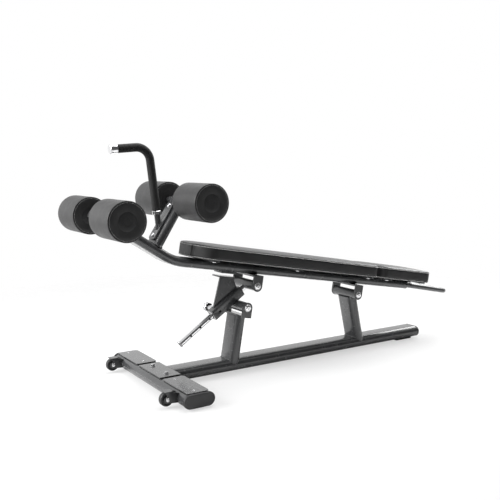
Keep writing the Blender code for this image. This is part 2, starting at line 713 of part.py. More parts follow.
def pivot_bolt(name, parent, location):
    """A bolt with a button head at each end, from ear to ear along Y."""
    seat = EAR_OUTER + GAP
    head = button_head(seat) + [(PIVOT_BOLT_RADIUS, seat)]
    profile = head + [(radius, -height) for radius, height in reversed(head)]
    bolt = turned(name, profile, SMALL_STEPS, closed=False)
    return put(bolt, parent, location, ALONG_Y, CHROME)


def eared_bracket(name, parent, location, turn, height, finish=POWDER_COAT):
    """A bracket with a base plate, and two ears whose holes lie at its own origin.
    The base plate's far face lies at this height above them."""
    base = block(name, (2 * EAR_RADIUS, 2 * EAR_OUTER, EAR_BASE_THICKNESS))
    carrier = axis(f"{name}_axis", parent, location, turn)
    put(base, carrier, (0, 0, height - EAR_BASE_THICKNESS / 2), (0, 0, 0), finish)
    top = height - EAR_BASE_THICKNESS / 2
    outline = arc((0, 0), EAR_RADIUS, 180, 360, 10) + [(EAR_RADIUS, top), (-EAR_RADIUS, top)]
    hole = round_hole(PIVOT_BOLT_RADIUS + GAP, SMALL_STEPS)
    for side, sign in SIDES.items():
        ear = flat(f"{name}_ear_{side}", [outline, hole],
                   EAR_THICKNESS - 2 * EAR_SET_IN)
        put(ear, carrier, (0, sign * (EAR_INNER + EAR_THICKNESS / 2), 0), ALONG_Y)
        combine(base, as_mesh(ear), "UNION")
    return base


def front_post():
    pivot = math.hypot(STRUT_PIVOT_X - FRONT_POST_X, STRUT_PIVOT_Z - PLATE_TOP)
    depth = STRUT_PIVOT_HEIGHT + EAR_BASE_THICKNESS
    post("front_post", front_post_axis, FRONT_POST_LEAN, pivot - depth - GAP)
    place = (0, 0, pivot)
    eared_bracket("strut_bracket", front_post_axis, place, math.pi, depth)
    pivot_bolt("strut_pivot_bolt", front_post_axis, place)


def rear_post():
    rise = TILT_PIVOT_Z - PLATE_TOP
    pivot = rise / math.cos(REAR_POST_LEAN)
    tube = post("rear_post", rear_post_axis, -REAR_POST_LEAN, pivot - REAR_POST_COPE)
    cope = rod("rear_post_cope", PIVOT_TUBE_RADIUS + GAP, POST_WIDTH + CUT_OVER, ROUND_STEPS)
    put(cope, origin, (TILT_PIVOT_X, 0, TILT_PIVOT_Z), ALONG_Y)
    combine(tube, cope, "DIFFERENCE")
    pivot_tube("tilt_pivot_tube", origin, (TILT_PIVOT_X, 0, TILT_PIVOT_Z))


front_post()
rear_post()


# Adjusting sleeve, which swings on the front post's pivot
def adjusting_sleeve():
    length = SLEEVE_BOTTOM - SLEEVE_TOP
    bore = ADJUSTING_TUBE_RADIUS + SLEEVE_LINER_GAP
    wall = rounded_box(SLEEVE_SIZE, SLEEVE_SIZE, SLEEVE_CORNER)
    hole = round_hole(bore, ROUND_STEPS)
    sleeve = flat("adjusting_sleeve", [wall, hole], length)
    put(sleeve, adjuster_axis, (-(SLEEVE_TOP + SLEEVE_BOTTOM) / 2, 0, 0), ALONG_X,
        POWDER_COAT)
    sleeve = as_mesh(sleeve)
    drill(sleeve, adjuster_axis, (-PIN_PLACE, 0, 0), ALONG_Y, PIN_HOLE_RADIUS,
          SLEEVE_SIZE + CUT_OVER)
    pivot_tube("sleeve_pivot_tube", strut_axis, (0, 0, 0))
    return sleeve


def stop_bracket():
    """A web along the sleeve's middle and a flange that lies parallel to the frame's stop
    plate. Both are drawn in the bench frame's directions."""
    carrier = axis("stop_axis", origin, (TILT_PIVOT_X, 0, TILT_PIVOT_Z), BENCH_SLOPE)
    plate_low = BENCH_TUBE_BOTTOM - GAP - STOP_PLATE_THICKNESS
    top = plate_low - STOP_CLEARANCE
    start = STOP_PLATE_FRONT - STOP_FLANGE_OVERHANG
    end = STOP_PLATE_FRONT + STOP_PLATE_LENGTH + STOP_FLANGE_OVERHANG
    flange = block("stop_bracket", (end - start, 2 * STOP_FLANGE_HALF, STOP_FLANGE_THICKNESS))
    put(flange, carrier, ((start + end) / 2, 0, top - STOP_FLANGE_THICKNESS / 2), (0, 0, 0),
        POWDER_COAT)

    turn = BENCH_SLOPE + SLEEVE_ANGLE

    def on_sleeve(along):
        """A point on the sleeve's top face in the bench frame, from the adjuster pivot."""
        up = SLEEVE_SIZE / 2 + GAP
        return (-ADJUSTER_PIVOT_REACH - along * math.cos(turn) - up * math.sin(turn),
                -along * math.sin(turn) + up * math.cos(turn))

    under = top - STOP_FLANGE_THICKNESS / 2
    outline = [on_sleeve(STOP_WEB_FOOT_FRONT), on_sleeve(STOP_WEB_FOOT_REAR),
               (end - STOP_FLANGE_OVERHANG, under), (start + STOP_WEB_INSET, under)]
    web = flat("stop_web", [outline], STOP_WEB_THICKNESS)
    put(web, carrier, (0, 0, 0), ALONG_Y)
    return combine(flange, as_mesh(web), "UNION")


def pop_pin():
    """A spring pin in a barrel on the sleeve's left side."""
    carrier = axis("pin_axis", adjuster_axis, (-PIN_PLACE, 0, 0))
    face = SLEEVE_SIZE / 2
    front = face + GAP
    back = front + PIN_BARREL_LENGTH
    bore = PIN_BARREL_RADIUS - PIN_BARREL_WALL
    throat = PIN_RADIUS + RUN
    barrel = turned("pop_pin_barrel", [
        (PIN_BARREL_RADIUS, -front), (PIN_BARREL_RADIUS, -back), (throat, -back),
        (throat, -back + PIN_BARREL_WALL), (bore, -back + PIN_BARREL_WALL), (bore, -front)],
        SMALL_STEPS)
    put(barrel, carrier, (0, 0, 0), ALONG_Y, ZINC)

    nose = ADJUSTING_TUBE_RADIUS + PIN_NOSE_GAP
    collar = face + PIN_COLLAR_LENGTH
    knob = back + PIN_NOSE_GAP
    knob_end = knob + PIN_KNOB_LENGTH
    collar_end = collar + PIN_COLLAR_LENGTH
    pin = turned("pop_pin", [
        (0, -nose), (PIN_RADIUS, -nose), (PIN_RADIUS, -collar),
        (PIN_COLLAR_RADIUS, -collar), (PIN_COLLAR_RADIUS, -collar_end),
        (PIN_RADIUS, -collar_end), (PIN_RADIUS, -knob - PIN_KNOB_DISH),
        (PIN_KNOB_FACE, -knob), (PIN_KNOB_RADIUS, -knob - PIN_KNOB_FRONT_EDGE),
        (PIN_KNOB_RADIUS, -knob_end + PIN_KNOB_BACK_EDGE),
        (PIN_KNOB_FACE, -knob_end + PIN_KNOB_DISH), (0, -knob_end)],
        SMALL_STEPS, closed=False)
    put(pin, carrier, (0, 0, 0), ALONG_Y, CHROME)

    start = collar_end + SPRING_WIRE + GAP
    length = back - PIN_BARREL_WALL - GAP - SPRING_WIRE - start
    count = SPRING_TURNS * SPRING_POINTS
    points = [(SPRING_RADIUS * math.cos(2 * math.pi * SPRING_TURNS * i / count),
               SPRING_RADIUS * math.sin(2 * math.pi * SPRING_TURNS * i / count),
               -start - length * i / count) for i in range(count + 1)]
    spring = path_tube("pop_pin_spring", points, SPRING_WIRE, 0)
    put(spring, carrier, (0, 0, 0), ALONG_Y, ZINC)


def adjusting_tube():
    """The chromed tube with its pin holes, and the head that it hangs from."""
    front = PIVOT_TUBE_RADIUS + GAP
    length = ADJUSTING_TUBE_END - front
    tube = ring("adjusting_tube", ADJUSTING_TUBE_RADIUS,
                ADJUSTING_TUBE_RADIUS - ADJUSTING_TUBE_WALL, length)
    put(tube, adjuster_axis, (-(front + ADJUSTING_TUBE_END) / 2, 0, 0), ALONG_X, CHROME)
    for i in range(PIN_STEPS + 1):
        drill(tube, adjuster_axis, (-PIN_PLACE - PIN_STEP * i, 0, 0), ALONG_Y,
              PIN_HOLE_RADIUS, 2 * ADJUSTING_TUBE_RADIUS + CUT_OVER, PIN_HOLE_STEPS)
    pivot_tube("adjusting_tube_head", adjuster_axis, (0, 0, 0))


adjusting_sleeve()
stop_bracket()
pop_pin()
adjusting_tube()


# Bench frame tube, bent up at its front to carry the rollers
def bench_path(front, rear):
    """The centre line in the bench frame, its front end this far up the incline."""
    tangent = BEND_RADIUS * math.tan(INCLINE_ANGLE / 2)
    start, turn = BEND_CORNER + tangent, INCLINE_ANGLE / BEND_SEGMENTS
    points = [(rear, 0, BENCH_TUBE_DROP)]
    for i in range(BEND_SEGMENTS + 1):
        points.append((start - BEND_RADIUS * math.sin(turn * i), 0,
                       BENCH_TUBE_DROP + BEND_RADIUS * (1 - math.cos(turn * i))))
    points.append((BEND_CORNER - front * math.cos(INCLINE_ANGLE), 0,
                   BENCH_TUBE_DROP + front * math.sin(INCLINE_ANGLE)))
    return points


def oval_path(name, points, width, height):
    """A solid flat-oval bar along points in the XZ plane."""
    profile = flat(f"{name}_section", [stadium(width, height)], 0)
    profile.data.fill_mode = "NONE"
    parts.objects.unlink(profile)
    cutters.objects.link(profile)
    profile.hide_render = True
    curve = bpy.data.curves.new(name, "CURVE")
    curve.dimensions = "3D"
    curve.twist_mode = "Z_UP"
    curve.bevel_mode = "OBJECT"
    curve.bevel_object = profile
    curve.use_fill_caps = True
    spline = curve.splines.new("POLY")
    spline.points.add(len(points) - 1)
    for point, co in zip(spline.points, points):
        point.co = (*co, 1)
    return link(name, curve)


def bench_tube():
    front = LOWER_AXLE_PLACE + INCLINE_END_MARGIN
    bar = oval_path("bench_tube", bench_path(front, BENCH_TUBE_REAR), BENCH_TUBE_WIDTH,
                    BENCH_TUBE_HEIGHT)
    put(bar, tilt_axis, (0, 0, 0), (0, 0, 0), POWDER_COAT)
    bar = as_mesh(bar)
    inset = 2 * BENCH_TUBE_WALL
    core = oval_path("bench_tube_core",
                     bench_path(front - BENCH_TUBE_WALL, BENCH_TUBE_REAR - BENCH_TUBE_WALL),
                     BENCH_TUBE_WIDTH - inset, BENCH_TUBE_HEIGHT - inset)
    put(core, tilt_axis)
    combine(bar, as_mesh(core), "DIFFERENCE")
    drill(bar, incline, (-LOWER_AXLE_PLACE, 0, 0), ALONG_Y, AXLE_RADIUS + GAP,
          BENCH_TUBE_WIDTH + CUT_OVER)
    for sign in SIDES.values():
        drill(bar, lift_axis, (0, sign * LIFT_LEG_Y, 0), (0, math.pi / 2, 0),
              LIFT_TUBE_RADIUS + GAP, 2 * BENCH_TUBE_WALL + CUT_OVER)
    return bar


def lift_handle():
    """A U of round tube, its legs held in the frame tube's rear end."""
    inside = -LIFT_LEG_DEPTH
    middle = LIFT_REACH - LIFT_BEND_RADIUS
    side = LIFT_LEG_Y - LIFT_BEND_RADIUS
    corner = (arc((middle, side), LIFT_BEND_RADIUS, 90, 0, 6)
              + arc((middle, -side), LIFT_BEND_RADIUS, 0, -90, 6))
    plan = [(inside, LIFT_LEG_Y)] + corner + [(inside, -LIFT_LEG_Y)]
    handle = path_tube("lift_handle", [(x, y, 0) for x, y in plan], LIFT_TUBE_RADIUS, 3)
    put(handle, lift_axis, (0, 0, 0), (0, 0, 0), POWDER_COAT)


def pivot_brackets():
    top = BENCH_TUBE_BOTTOM - GAP
    eared_bracket("tilt_bracket", tilt_axis, (0, 0, 0), 0, top)
    pivot_bolt("tilt_pivot_bolt", tilt_axis, (0, 0, 0))
    place = (-ADJUSTER_PIVOT_REACH, 0, 0)
    eared_bracket("adjuster_bracket", tilt_axis, place, 0, top)
    seat = EAR_OUTER + GAP
    profile = button_head(seat) + [
        (PIVOT_BOLT_RADIUS, seat), (PIVOT_BOLT_RADIUS, EAR_INNER), (0, EAR_INNER)]
    for side, sign in SIDES.items():
        screw = turned(f"adjuster_screw_{side}", profile, SMALL_STEPS, closed=False)
        put(screw, tilt_axis, place, (-math.pi / 2 * sign, 0, 0), CHROME)
    plate = block("stop_plate", (STOP_PLATE_LENGTH, 2 * STOP_FLANGE_HALF, STOP_PLATE_THICKNESS))
    put(plate, tilt_axis, (STOP_PLATE_FRONT + STOP_PLATE_LENGTH / 2, 0,
                           top - STOP_PLATE_THICKNESS / 2), (0, 0, 0), POWDER_COAT)


bench_tube()
lift_handle()
pivot_brackets()


# Pads on their boards and cross brackets
def corner_width(x, length, radius):
    """How far the outline stands in from its full half width, near a rounded end."""
    d = min(x, length - x, radius)
    return radius - math.sqrt(max(radius ** 2 - (radius - d) ** 2, 0.0))


def head_half_width(x, length):
    return PAD_WIDTH / 2 - corner_width(x, length, PAD_CORNER)


def main_half_width(x, length):
    """The main pad's half width, flaring from a narrow nose."""
    if x < NOSE_LENGTH:
        share = math.sin(math.pi / 2 * x / NOSE_LENGTH)
        return NOSE_WIDTH / 2 + (PAD_WIDTH - NOSE_WIDTH) / 2 * share
    return PAD_WIDTH / 2 - corner_width(length - x, length * 2, PAD_CORNER)


def board(name, start, end, half_width):
    length = end - start - 2 * PAD_BOARD_INSET
    steps = 5
    near = [NOSE_LENGTH * i / steps for i in range(steps + 1)]
    stations = near + [length - PAD_CORNER * (1 - i / steps) for i in range(steps + 1)]
    edge = [(x, half_width(x, length) - PAD_BOARD_INSET) for x in stations]
    outline = edge + [(x, -y) for x, y in reversed(edge)]
    plate = flat(name, [outline], PAD_BOARD)
    put(plate, tilt_axis, (start + PAD_BOARD_INSET, 0, BOARD_BOTTOM + PAD_BOARD / 2),
        (0, 0, 0), BOARD)


def cushion(name, start, end, half_width, lengthwise):
    """An upholstered pad: a coarse cage with a crown and drawn-in sides, smoothed."""
    length, low = end - start, PAD_BOARD + GAP
    height = PAD_THICKNESS - low
    shape = bmesh.new()
    bmesh.ops.create_cube(shape, size=1.0, matrix=Matrix.Translation((0.5, 0, 0.5)))
    bmesh.ops.scale(shape, vec=(length, 2, height), verts=shape.verts)
    cuts = [((x, 0, 0), (1, 0, 0)) for x in lengthwise]
    cuts += [((0, y, 0), (0, 1, 0)) for y in (-0.88, -0.45, 0, 0.45, 0.88)]
    cuts += [((0, 0, z), (0, 0, 1)) for z in (PAD_EDGE * 0.7, height / 2, height - PAD_EDGE)]
    for place, normal in cuts:
        geometry = shape.verts[:] + shape.edges[:] + shape.faces[:]
        bmesh.ops.bisect_plane(shape, geom=geometry, plane_co=place, plane_no=normal)
    for vertex in shape.verts:
        x, y, z = vertex.co
        rise = z / height
        on_top = rise > 0.999
        if rise < 0.001 or on_top:
            draw = PAD_EDGE * 0.6
        else:
            draw = PAD_DRAW_IN if abs(rise - 0.5) < 0.01 else 0.0
        squeeze = 1 - 2 * draw / length
        vertex.co.x = length / 2 + (x - length / 2) * squeeze
        vertex.co.y = y * (half_width(x, length) - draw)
        if on_top:
            ends = min(x, length - x) / (PAD_CORNER * 2)
            vertex.co.z = z + PAD_CROWN * (1 - y * y) * min(1.0, ends)
    obj = from_bmesh(name, shape)
    surface = obj.modifiers.new("upholstery", "SUBSURF")
    surface.levels = surface.render_levels = 1
    smooth(obj, 60)
    return put(obj, tilt_axis, (start, 0, BOARD_BOTTOM + low), (0, 0, 0), LEATHER)


def pad(name, start, end, half_width, front_stations, brackets):
    length = end - start
    rear = [length - PAD_CORNER * s for s in (1.6, 0.7, 0.2)]
    board(f"{name}_board", start, end, half_width)
    cushion(name, start, end, half_width, front_stations + rear)
    for place, x in brackets.items():
        outline = rounded_box(PAD_BRACKET_WIDTH, PAD_BRACKET_LENGTH, PAD_BRACKET_CORNER)
        bracket = flat(f"{name}_bracket_{place}", [outline], PAD_BRACKET_THICKNESS)
        put(bracket, tilt_axis, (x, 0, PAD_BRACKET_MIDDLE), (0, 0, 0), POWDER_COAT)


main_front = [NOSE_LENGTH * s for s in (0.12, 0.45, 0.85, 1.4)]
main_middle = [(MAIN_PAD_REAR - MAIN_PAD_FRONT) * s for s in (0.3, 0.5, 0.75)]
head_front = [PAD_CORNER * s for s in (0.2, 0.7, 1.6)]
head_middle = [(HEAD_PAD_REAR - HEAD_PAD_FRONT) / 2]
pad("main_pad", MAIN_PAD_FRONT, MAIN_PAD_REAR, main_half_width, main_front + main_middle,
    MAIN_PAD_BRACKETS)
pad("head_pad", HEAD_PAD_FRONT, HEAD_PAD_REAR, head_half_width, head_front + head_middle,
    HEAD_PAD_BRACKETS)


# Roller mast, the axles and the four rollers
def roller_mast():
    top = UPPER_AXLE_HEIGHT + MAST_TOP_MARGIN
    low = BENCH_TUBE_HEIGHT / 2 - MAST_COPE
    mast = flat("roller_mast", [stadium(MAST_WIDTH, MAST_DEPTH)], top - low)
    put(mast, incline, (-MAST_PLACE, 0, (top + low) / 2), ALONG_Z, POWDER_COAT)
    mast = as_mesh(mast)
    inset = 2 * MAST_WALL
    core = flat("roller_mast_core", [stadium(MAST_WIDTH - inset, MAST_DEPTH - inset)], top)
    put(core, incline, (-MAST_PLACE, 0, top / 2 - MAST_WALL), ALONG_Z)
    combine(mast, as_mesh(core), "DIFFERENCE")
    frame = flat("incline_shape", [stadium(BENCH_TUBE_WIDTH + 2 * GAP,
                                           BENCH_TUBE_HEIGHT + 2 * GAP)], 3 * MAST_DEPTH)
    put(frame, incline, (-MAST_PLACE, 0, 0), ALONG_X)
    combine(mast, as_mesh(frame), "DIFFERENCE")
    drill(mast, incline, (-MAST_PLACE, 0, UPPER_AXLE_HEIGHT), ALONG_Y, AXLE_RADIUS + GAP,
          MAST_WIDTH + CUT_OVER)
    mast.modifiers[-1].solver = "MANIFOLD"


def roller(name, sign, place):
    """A foam roller with a sewn skin and a plastic disc let into each end."""
    half = (ROLLER_OUTER_Y - ROLLER_INNER_Y) / 2
    middle = (ROLLER_OUTER_Y + ROLLER_INNER_Y) / 2
    bore = AXLE_RADIUS + RUN
    rim = ROLLER_RADIUS - ROLLER_EDGE
    shoulder = (rim + ROLLER_EDGE * math.sin(math.pi / 4),
                half - ROLLER_EDGE * (1 - math.cos(math.pi / 4)))
    end = [(bore, half - ROLLER_DISC_DEPTH), (ROLLER_DISC_RADIUS, half - ROLLER_DISC_DEPTH),
           (ROLLER_DISC_RADIUS + ROLLER_DISC_GROOVE, half - ROLLER_DISH), (rim, half),
           shoulder, (ROLLER_RADIUS, half - ROLLER_EDGE)]
    profile = end + [(radius, -height) for radius, height in reversed(end)]
    obj = turned(name, profile, ROLLER_STEPS)
    put(obj, incline, (place[0], sign * middle, place[1]), ALONG_Y, ROLLER_SKIN)


roller_mast()
axles = {"lower": (-LOWER_AXLE_PLACE, 0), "upper": (-MAST_PLACE, UPPER_AXLE_HEIGHT)}
for level, place in axles.items():
    length = 2 * (ROLLER_OUTER_Y - ROLLER_DISC_DEPTH)
    tube = ring(f"{level}_axle", AXLE_RADIUS, AXLE_RADIUS - AXLE_WALL, length)
    put(tube, incline, (place[0], 0, place[1]), ALONG_Y, ZINC)
    for side, sign in SIDES.items():
        roller(f"{level}_roller_{side}", sign, place)


# Grab handle: a plate on the mast and a bent tube with a foam grip
def handle_point(along):
    """A point of the handle's centre line in the incline's XZ plane, by its length."""
    lean = (-math.sin(HANDLE_LEAN), math.cos(HANDLE_LEAN))
    front = (-math.cos(HANDLE_LEAN), -math.sin(HANDLE_LEAN))
    straight = min(along, HANDLE_BEND_START)
    turn = min(max(along - HANDLE_BEND_START, 0.0), HANDLE_BEND_LENGTH) / HANDLE_BEND_RADIUS
    rest = max(along - HANDLE_BEND_END, 0.0)
    ahead = HANDLE_BEND_RADIUS * (1 - math.cos(turn)) + rest * math.sin(HANDLE_BEND)
    up = straight + HANDLE_BEND_RADIUS * math.sin(turn) + rest * math.cos(HANDLE_BEND)
    return (-HANDLE_FACE + lean[0] * up + front[0] * ahead, 0,
            HANDLE_FOOT_HEIGHT + lean[1] * up + front[1] * ahead)


def handle_line(start, end):
    """Points of the handle's centre line between two lengths, closer in the bend."""
    bend = [HANDLE_BEND_START + HANDLE_BEND_LENGTH * i / HANDLE_BEND_SEGMENTS
            for i in range(HANDLE_BEND_SEGMENTS + 1)]
    stations = [start] + [s for s in bend if start < s < end] + [end]
    return [handle_point(s) for s in stations]


def handle_piece(name, start, end, radius, finish):
    """A round bar along part of the handle's centre line."""
    bar = path_tube(name, handle_line(start, end), radius, 3)
    put(bar, incline, (0, 0, 0), (0, 0, 0), finish)
    return as_mesh(bar)


def grab_handle():
    outline = rounded_box(HANDLE_PLATE_WIDTH, HANDLE_PLATE_TO - HANDLE_PLATE_FROM,
                          HANDLE_PLATE_CORNER)
    plate = flat("handle_plate", [outline], HANDLE_PLATE_THICKNESS)
    put(plate, incline, (-HANDLE_FACE + HANDLE_PLATE_THICKNESS / 2, 0,
                         (HANDLE_PLATE_TO + HANDLE_PLATE_FROM) / 2), ALONG_X, POWDER_COAT)

    behind = 2 * HANDLE_TUBE_RADIUS
    tube = handle_piece("handle_tube", -behind, HANDLE_END - END_CAP_WALL, HANDLE_TUBE_RADIUS,
                        POWDER_COAT)
    size = 4 * behind
    face = block("handle_foot_cut", (size, size, size))
    put(face, incline, (size / 2 - HANDLE_FACE - GAP, 0, HANDLE_FOOT_HEIGHT))
    combine(tube, face, "DIFFERENCE")

    bore = handle_piece("grip_bore", GRIP_START - GRIP_BORE_OVERRUN,
                        GRIP_END + GRIP_BORE_OVERRUN, HANDLE_TUBE_RADIUS + GAP, None)
    grip = handle_piece("handle_grip", GRIP_START, GRIP_END, GRIP_RADIUS, FOAM)
    combine(grip, bore, "DIFFERENCE")

    collar = ring("handle_collar", COLLAR_RADIUS, HANDLE_TUBE_RADIUS + GAP, COLLAR_LENGTH)
    middle = handle_point(COLLAR_PLACE + COLLAR_LENGTH / 2)
    put(collar, incline, middle, (0, -HANDLE_LEAN, 0), CHROME)

    bore = HANDLE_TUBE_RADIUS + GAP
    inner_end = END_CAP_LENGTH - END_CAP_WALL + GAP
    cap = turned("handle_end_cap", [
        (0, END_CAP_LENGTH), (END_CAP_RADIUS - END_CAP_EDGE, END_CAP_LENGTH),
        (END_CAP_RADIUS, END_CAP_LENGTH - END_CAP_EDGE), (END_CAP_RADIUS, 0), (bore, 0),
        (bore, inner_end), (0, inner_end)], closed=False)
    put(cap, incline, handle_point(HANDLE_END - END_CAP_LENGTH),
        (0, -(HANDLE_LEAN + HANDLE_BEND), 0), CHROME)


grab_handle()

for obj in parts.objects:
    if obj.type == "MESH" and not obj.hide_render:
        smooth(obj)
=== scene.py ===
"""Abdominal bench: a welded steel base, a tilting frame with its pads, leg rollers and a
grab handle, in anthracite powder coat and black upholstery. All sizes are in metres."""

import json
import math

import bmesh
import bpy
from mathutils import Matrix, Vector


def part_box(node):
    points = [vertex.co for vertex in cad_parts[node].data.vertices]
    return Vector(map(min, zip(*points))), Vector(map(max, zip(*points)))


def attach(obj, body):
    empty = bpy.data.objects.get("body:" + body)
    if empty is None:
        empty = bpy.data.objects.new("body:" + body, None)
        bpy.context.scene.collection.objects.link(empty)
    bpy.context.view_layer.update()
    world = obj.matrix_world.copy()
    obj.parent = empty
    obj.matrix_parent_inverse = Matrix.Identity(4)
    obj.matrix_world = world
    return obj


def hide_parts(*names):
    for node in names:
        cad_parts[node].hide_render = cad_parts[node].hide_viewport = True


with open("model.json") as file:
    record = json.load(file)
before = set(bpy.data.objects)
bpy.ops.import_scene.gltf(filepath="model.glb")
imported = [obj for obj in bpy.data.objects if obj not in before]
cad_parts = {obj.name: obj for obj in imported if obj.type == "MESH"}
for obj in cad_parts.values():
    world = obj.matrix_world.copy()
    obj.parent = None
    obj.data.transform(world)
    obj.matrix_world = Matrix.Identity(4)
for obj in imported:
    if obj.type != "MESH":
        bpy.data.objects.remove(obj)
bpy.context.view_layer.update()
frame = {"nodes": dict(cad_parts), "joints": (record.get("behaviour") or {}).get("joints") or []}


# Front foot: a flat-oval steel tube that lies across the front of the base, sawn square at
# both ends and powder coated in anthracite like the rest of the frame.

def measure(node):
    """The middle and the size of a piece as it was drawn."""
    low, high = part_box(node)
    return (low + high) / 2, high - low


def flat_oval(width, height, steps=14):
    """The outline of a flat-oval tube, its width along the first axis."""
    radius = height / 2
    side = width / 2 - radius
    turns = [math.pi * (i / steps - 0.5) for i in range(steps + 1)]
    right = [(side + radius * math.cos(a), radius * math.sin(a)) for a in turns]
    return right + [(-across, -up) for across, up in right]


def into_scene(name, data):
    """Puts a mesh, a lamp or a camera into the scene."""
    piece = bpy.data.objects.new(name, data)
    bpy.context.scene.collection.objects.link(piece)
    return piece


def skin(name, rings, ends=True, crease=32):
    """A surface over rings of points. It has flat ends, or else joins back into a loop."""
    count = len(rings[0])
    faces = []
    for r in range(len(rings) - 1 if ends else len(rings)):
        here, there = r * count, (r + 1) % len(rings) * count
        for i in range(count):
            j = (i + 1) % count
            faces.append((here + i, here + j, there + j, there + i))
    if ends:
        faces.append(tuple(range(count)))
        faces.append(tuple(range((len(rings) - 1) * count, len(rings) * count)))
    mesh = bpy.data.meshes.new(name)
    mesh.from_pydata([point for ring in rings for point in ring], [], faces)
    shape = bmesh.new()
    shape.from_mesh(mesh)
    bmesh.ops.remove_doubles(shape, verts=shape.verts, dist=1e-6)
    bmesh.ops.recalc_face_normals(shape, faces=shape.faces)
    shape.to_mesh(mesh)
    shape.free()
    mesh.shade_smooth()
    mesh.set_sharp_from_angle(angle=math.radians(crease))
    return into_scene(name, mesh)


def at(x, y, z):
    """Moves a piece to a place."""
    return Matrix.Translation((x, y, z))


def outward(side):
    """Turns a piece's own Z axis to the left of the bench (1) or to its right (-1)."""
    return Matrix.Rotation(-side * math.pi / 2, 4, "X")


def bar(name, outline, length):
    """A bar of one outline along its own Z axis, around its middle."""
    return skin(name, [[(x, y, z) for x, y in outline] for z in (-length / 2, length / 2)])


def soften(piece, width, segments=3):
    """Rounds the sharp edges of a piece."""
    edge = piece.modifiers.new("softened edges", "BEVEL")
    edge.width = width
    edge.segments = segments
    edge.limit_method = "ANGLE"
    edge.angle_limit = math.radians(38)
    return piece


def new_finish(name, colour, roughness, metallic=0.0):
    """A finish with one plain colour, for patterns and relief to be added to."""
    finish = bpy.data.materials.new(name)
    finish.use_nodes = True
    shader = finish.node_tree.nodes["Principled BSDF"]
    shader.inputs["Base Color"].default_value = (*colour, 1.0)
    shader.inputs["Roughness"].default_value = roughness
    shader.inputs["Metallic"].default_value = metallic
    return finish


def grain(finish, kind, scale, stretch=(1, 1, 1), **settings):
    """A pattern over the piece, in units of its own metres. Returns the pattern's node."""
    tree = finish.node_tree
    place = tree.nodes.new("ShaderNodeTexCoord")
    sizing = tree.nodes.new("ShaderNodeMapping")
    sizing.inputs["Scale"].default_value = stretch
    pattern = tree.nodes.new(kind)
    pattern.inputs["Scale"].default_value = scale
    for setting, value in settings.items():
        pattern.inputs[setting].default_value = value
    tree.links.new(place.outputs["Object"], sizing.inputs["Vector"])
    tree.links.new(sizing.outputs["Vector"], pattern.inputs["Vector"])
    return pattern


def tint(finish, amount, low, high):
    """Lets the colour drift between two tones with a pattern."""
    tree = finish.node_tree
    ramp = tree.nodes.new("ShaderNodeValToRGB")
    ramp.color_ramp.elements[0].position = 0.32
    ramp.color_ramp.elements[0].color = (*low, 1)
    ramp.color_ramp.elements[1].position = 0.68
    ramp.color_ramp.elements[1].color = (*high, 1)
    tree.links.new(amount, ramp.inputs["Fac"])
    shader = tree.nodes["Principled BSDF"]
    tree.links.new(ramp.outputs["Color"], shader.inputs["Base Color"])


def polish(finish, amount, low, high):
    """Lets the roughness drift between two values with a pattern."""
    tree = finish.node_tree
    span = tree.nodes.new("ShaderNodeMapRange")
    span.inputs["From Min"].default_value = 0.3
    span.inputs["From Max"].default_value = 0.7
    span.inputs["To Min"].default_value = low
    span.inputs["To Max"].default_value = high
    tree.links.new(amount, span.inputs["Value"])
    tree.links.new(span.outputs["Result"],
                   tree.nodes["Principled BSDF"].inputs["Roughness"])


def relief(finish, height, depth, strength):
    """Raises the surface with a pattern, over any relief that it already has."""
    tree = finish.node_tree
    shader = tree.nodes["Principled BSDF"]
    bump = tree.nodes.new("ShaderNodeBump")
    bump.inputs["Distance"].default_value = depth
    bump.inputs["Strength"].default_value = strength
    tree.links.new(height, bump.inputs["Height"])
    if shader.inputs["Normal"].links:
        before = shader.inputs["Normal"].links[0].from_socket
        tree.links.new(before, bump.inputs["Normal"])
    tree.links.new(bump.outputs["Normal"], shader.inputs["Normal"])


def powder_coat(name, colour, roughness=0.25):
    """Baked powder coat: an orange-peel skin, with slow drifts in tone and gloss."""
    low = [c * 0.88 for c in colour]
    high = [c * 1.12 for c in colour]
    finish = new_finish(name, colour, roughness)
    drift = grain(finish, "ShaderNodeTexNoise", 11.0, Detail=4.0)
    tint(finish, drift.outputs["Fac"], low, high)
    sheen = grain(finish, "ShaderNodeTexNoise", 60.0, Detail=3.0)
    polish(finish, sheen.outputs["Fac"], roughness - 0.03, roughness + 0.03)
    peel = grain(finish, "ShaderNodeTexNoise", 750.0, Detail=1.0)
    relief(finish, peel.outputs["Fac"], 0.00006, 0.15)
    shader = finish.node_tree.nodes["Principled BSDF"]
    shader.inputs["Coat Weight"].default_value = 0.45
    shader.inputs["Coat Roughness"].default_value = 0.12
    shader.inputs["Sheen Weight"].default_value = 0.12
    shader.inputs["Sheen Roughness"].default_value = 0.30
    return finish


def fit(piece, finish, body, nodes=(), place=None):
    """Paints a piece, sets it in its place, and lets it move with its body."""
    piece.data.materials.clear()
    piece.data.materials.append(finish)
    if place is not None:
        piece.matrix_world = place
    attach(piece, body)
    if nodes:
        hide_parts(*nodes)


ANTHRACITE = powder_coat("anthracite_powder_coat", (0.052, 0.053, 0.055))
ACROSS = outward(-1)

foot_middle, foot_size = measure("front_foot")
foot_tube = soften(bar("foot_tube", flat_oval(foot_size.x, foot_size.z, 18), foot_size.y),
                   0.0008)
fit(foot_tube, ANTHRACITE, "base", ["front_foot"],
    at(*foot_middle) @ ACROSS)


# Foot plates: a saddle plate that the rail is welded to, and a tread plate on each side of
# it. They are cut from sheet steel; a near-black band below the coated top is painted shade.

SIDES = {"left": 1, "right": -1}
# The coated top takes this share of each plate's height. The near-black band under it is painted
# shade on the plate's edge.
COATED_SHARE = 0.45
SHADE_BAND_INSET = 0.0007
TREAD_SCREWS = (0.0265, 0.1755)
TREAD_SCREWS_FORWARD = 0.005
SADDLE_BOLT_REACH = 0.0088
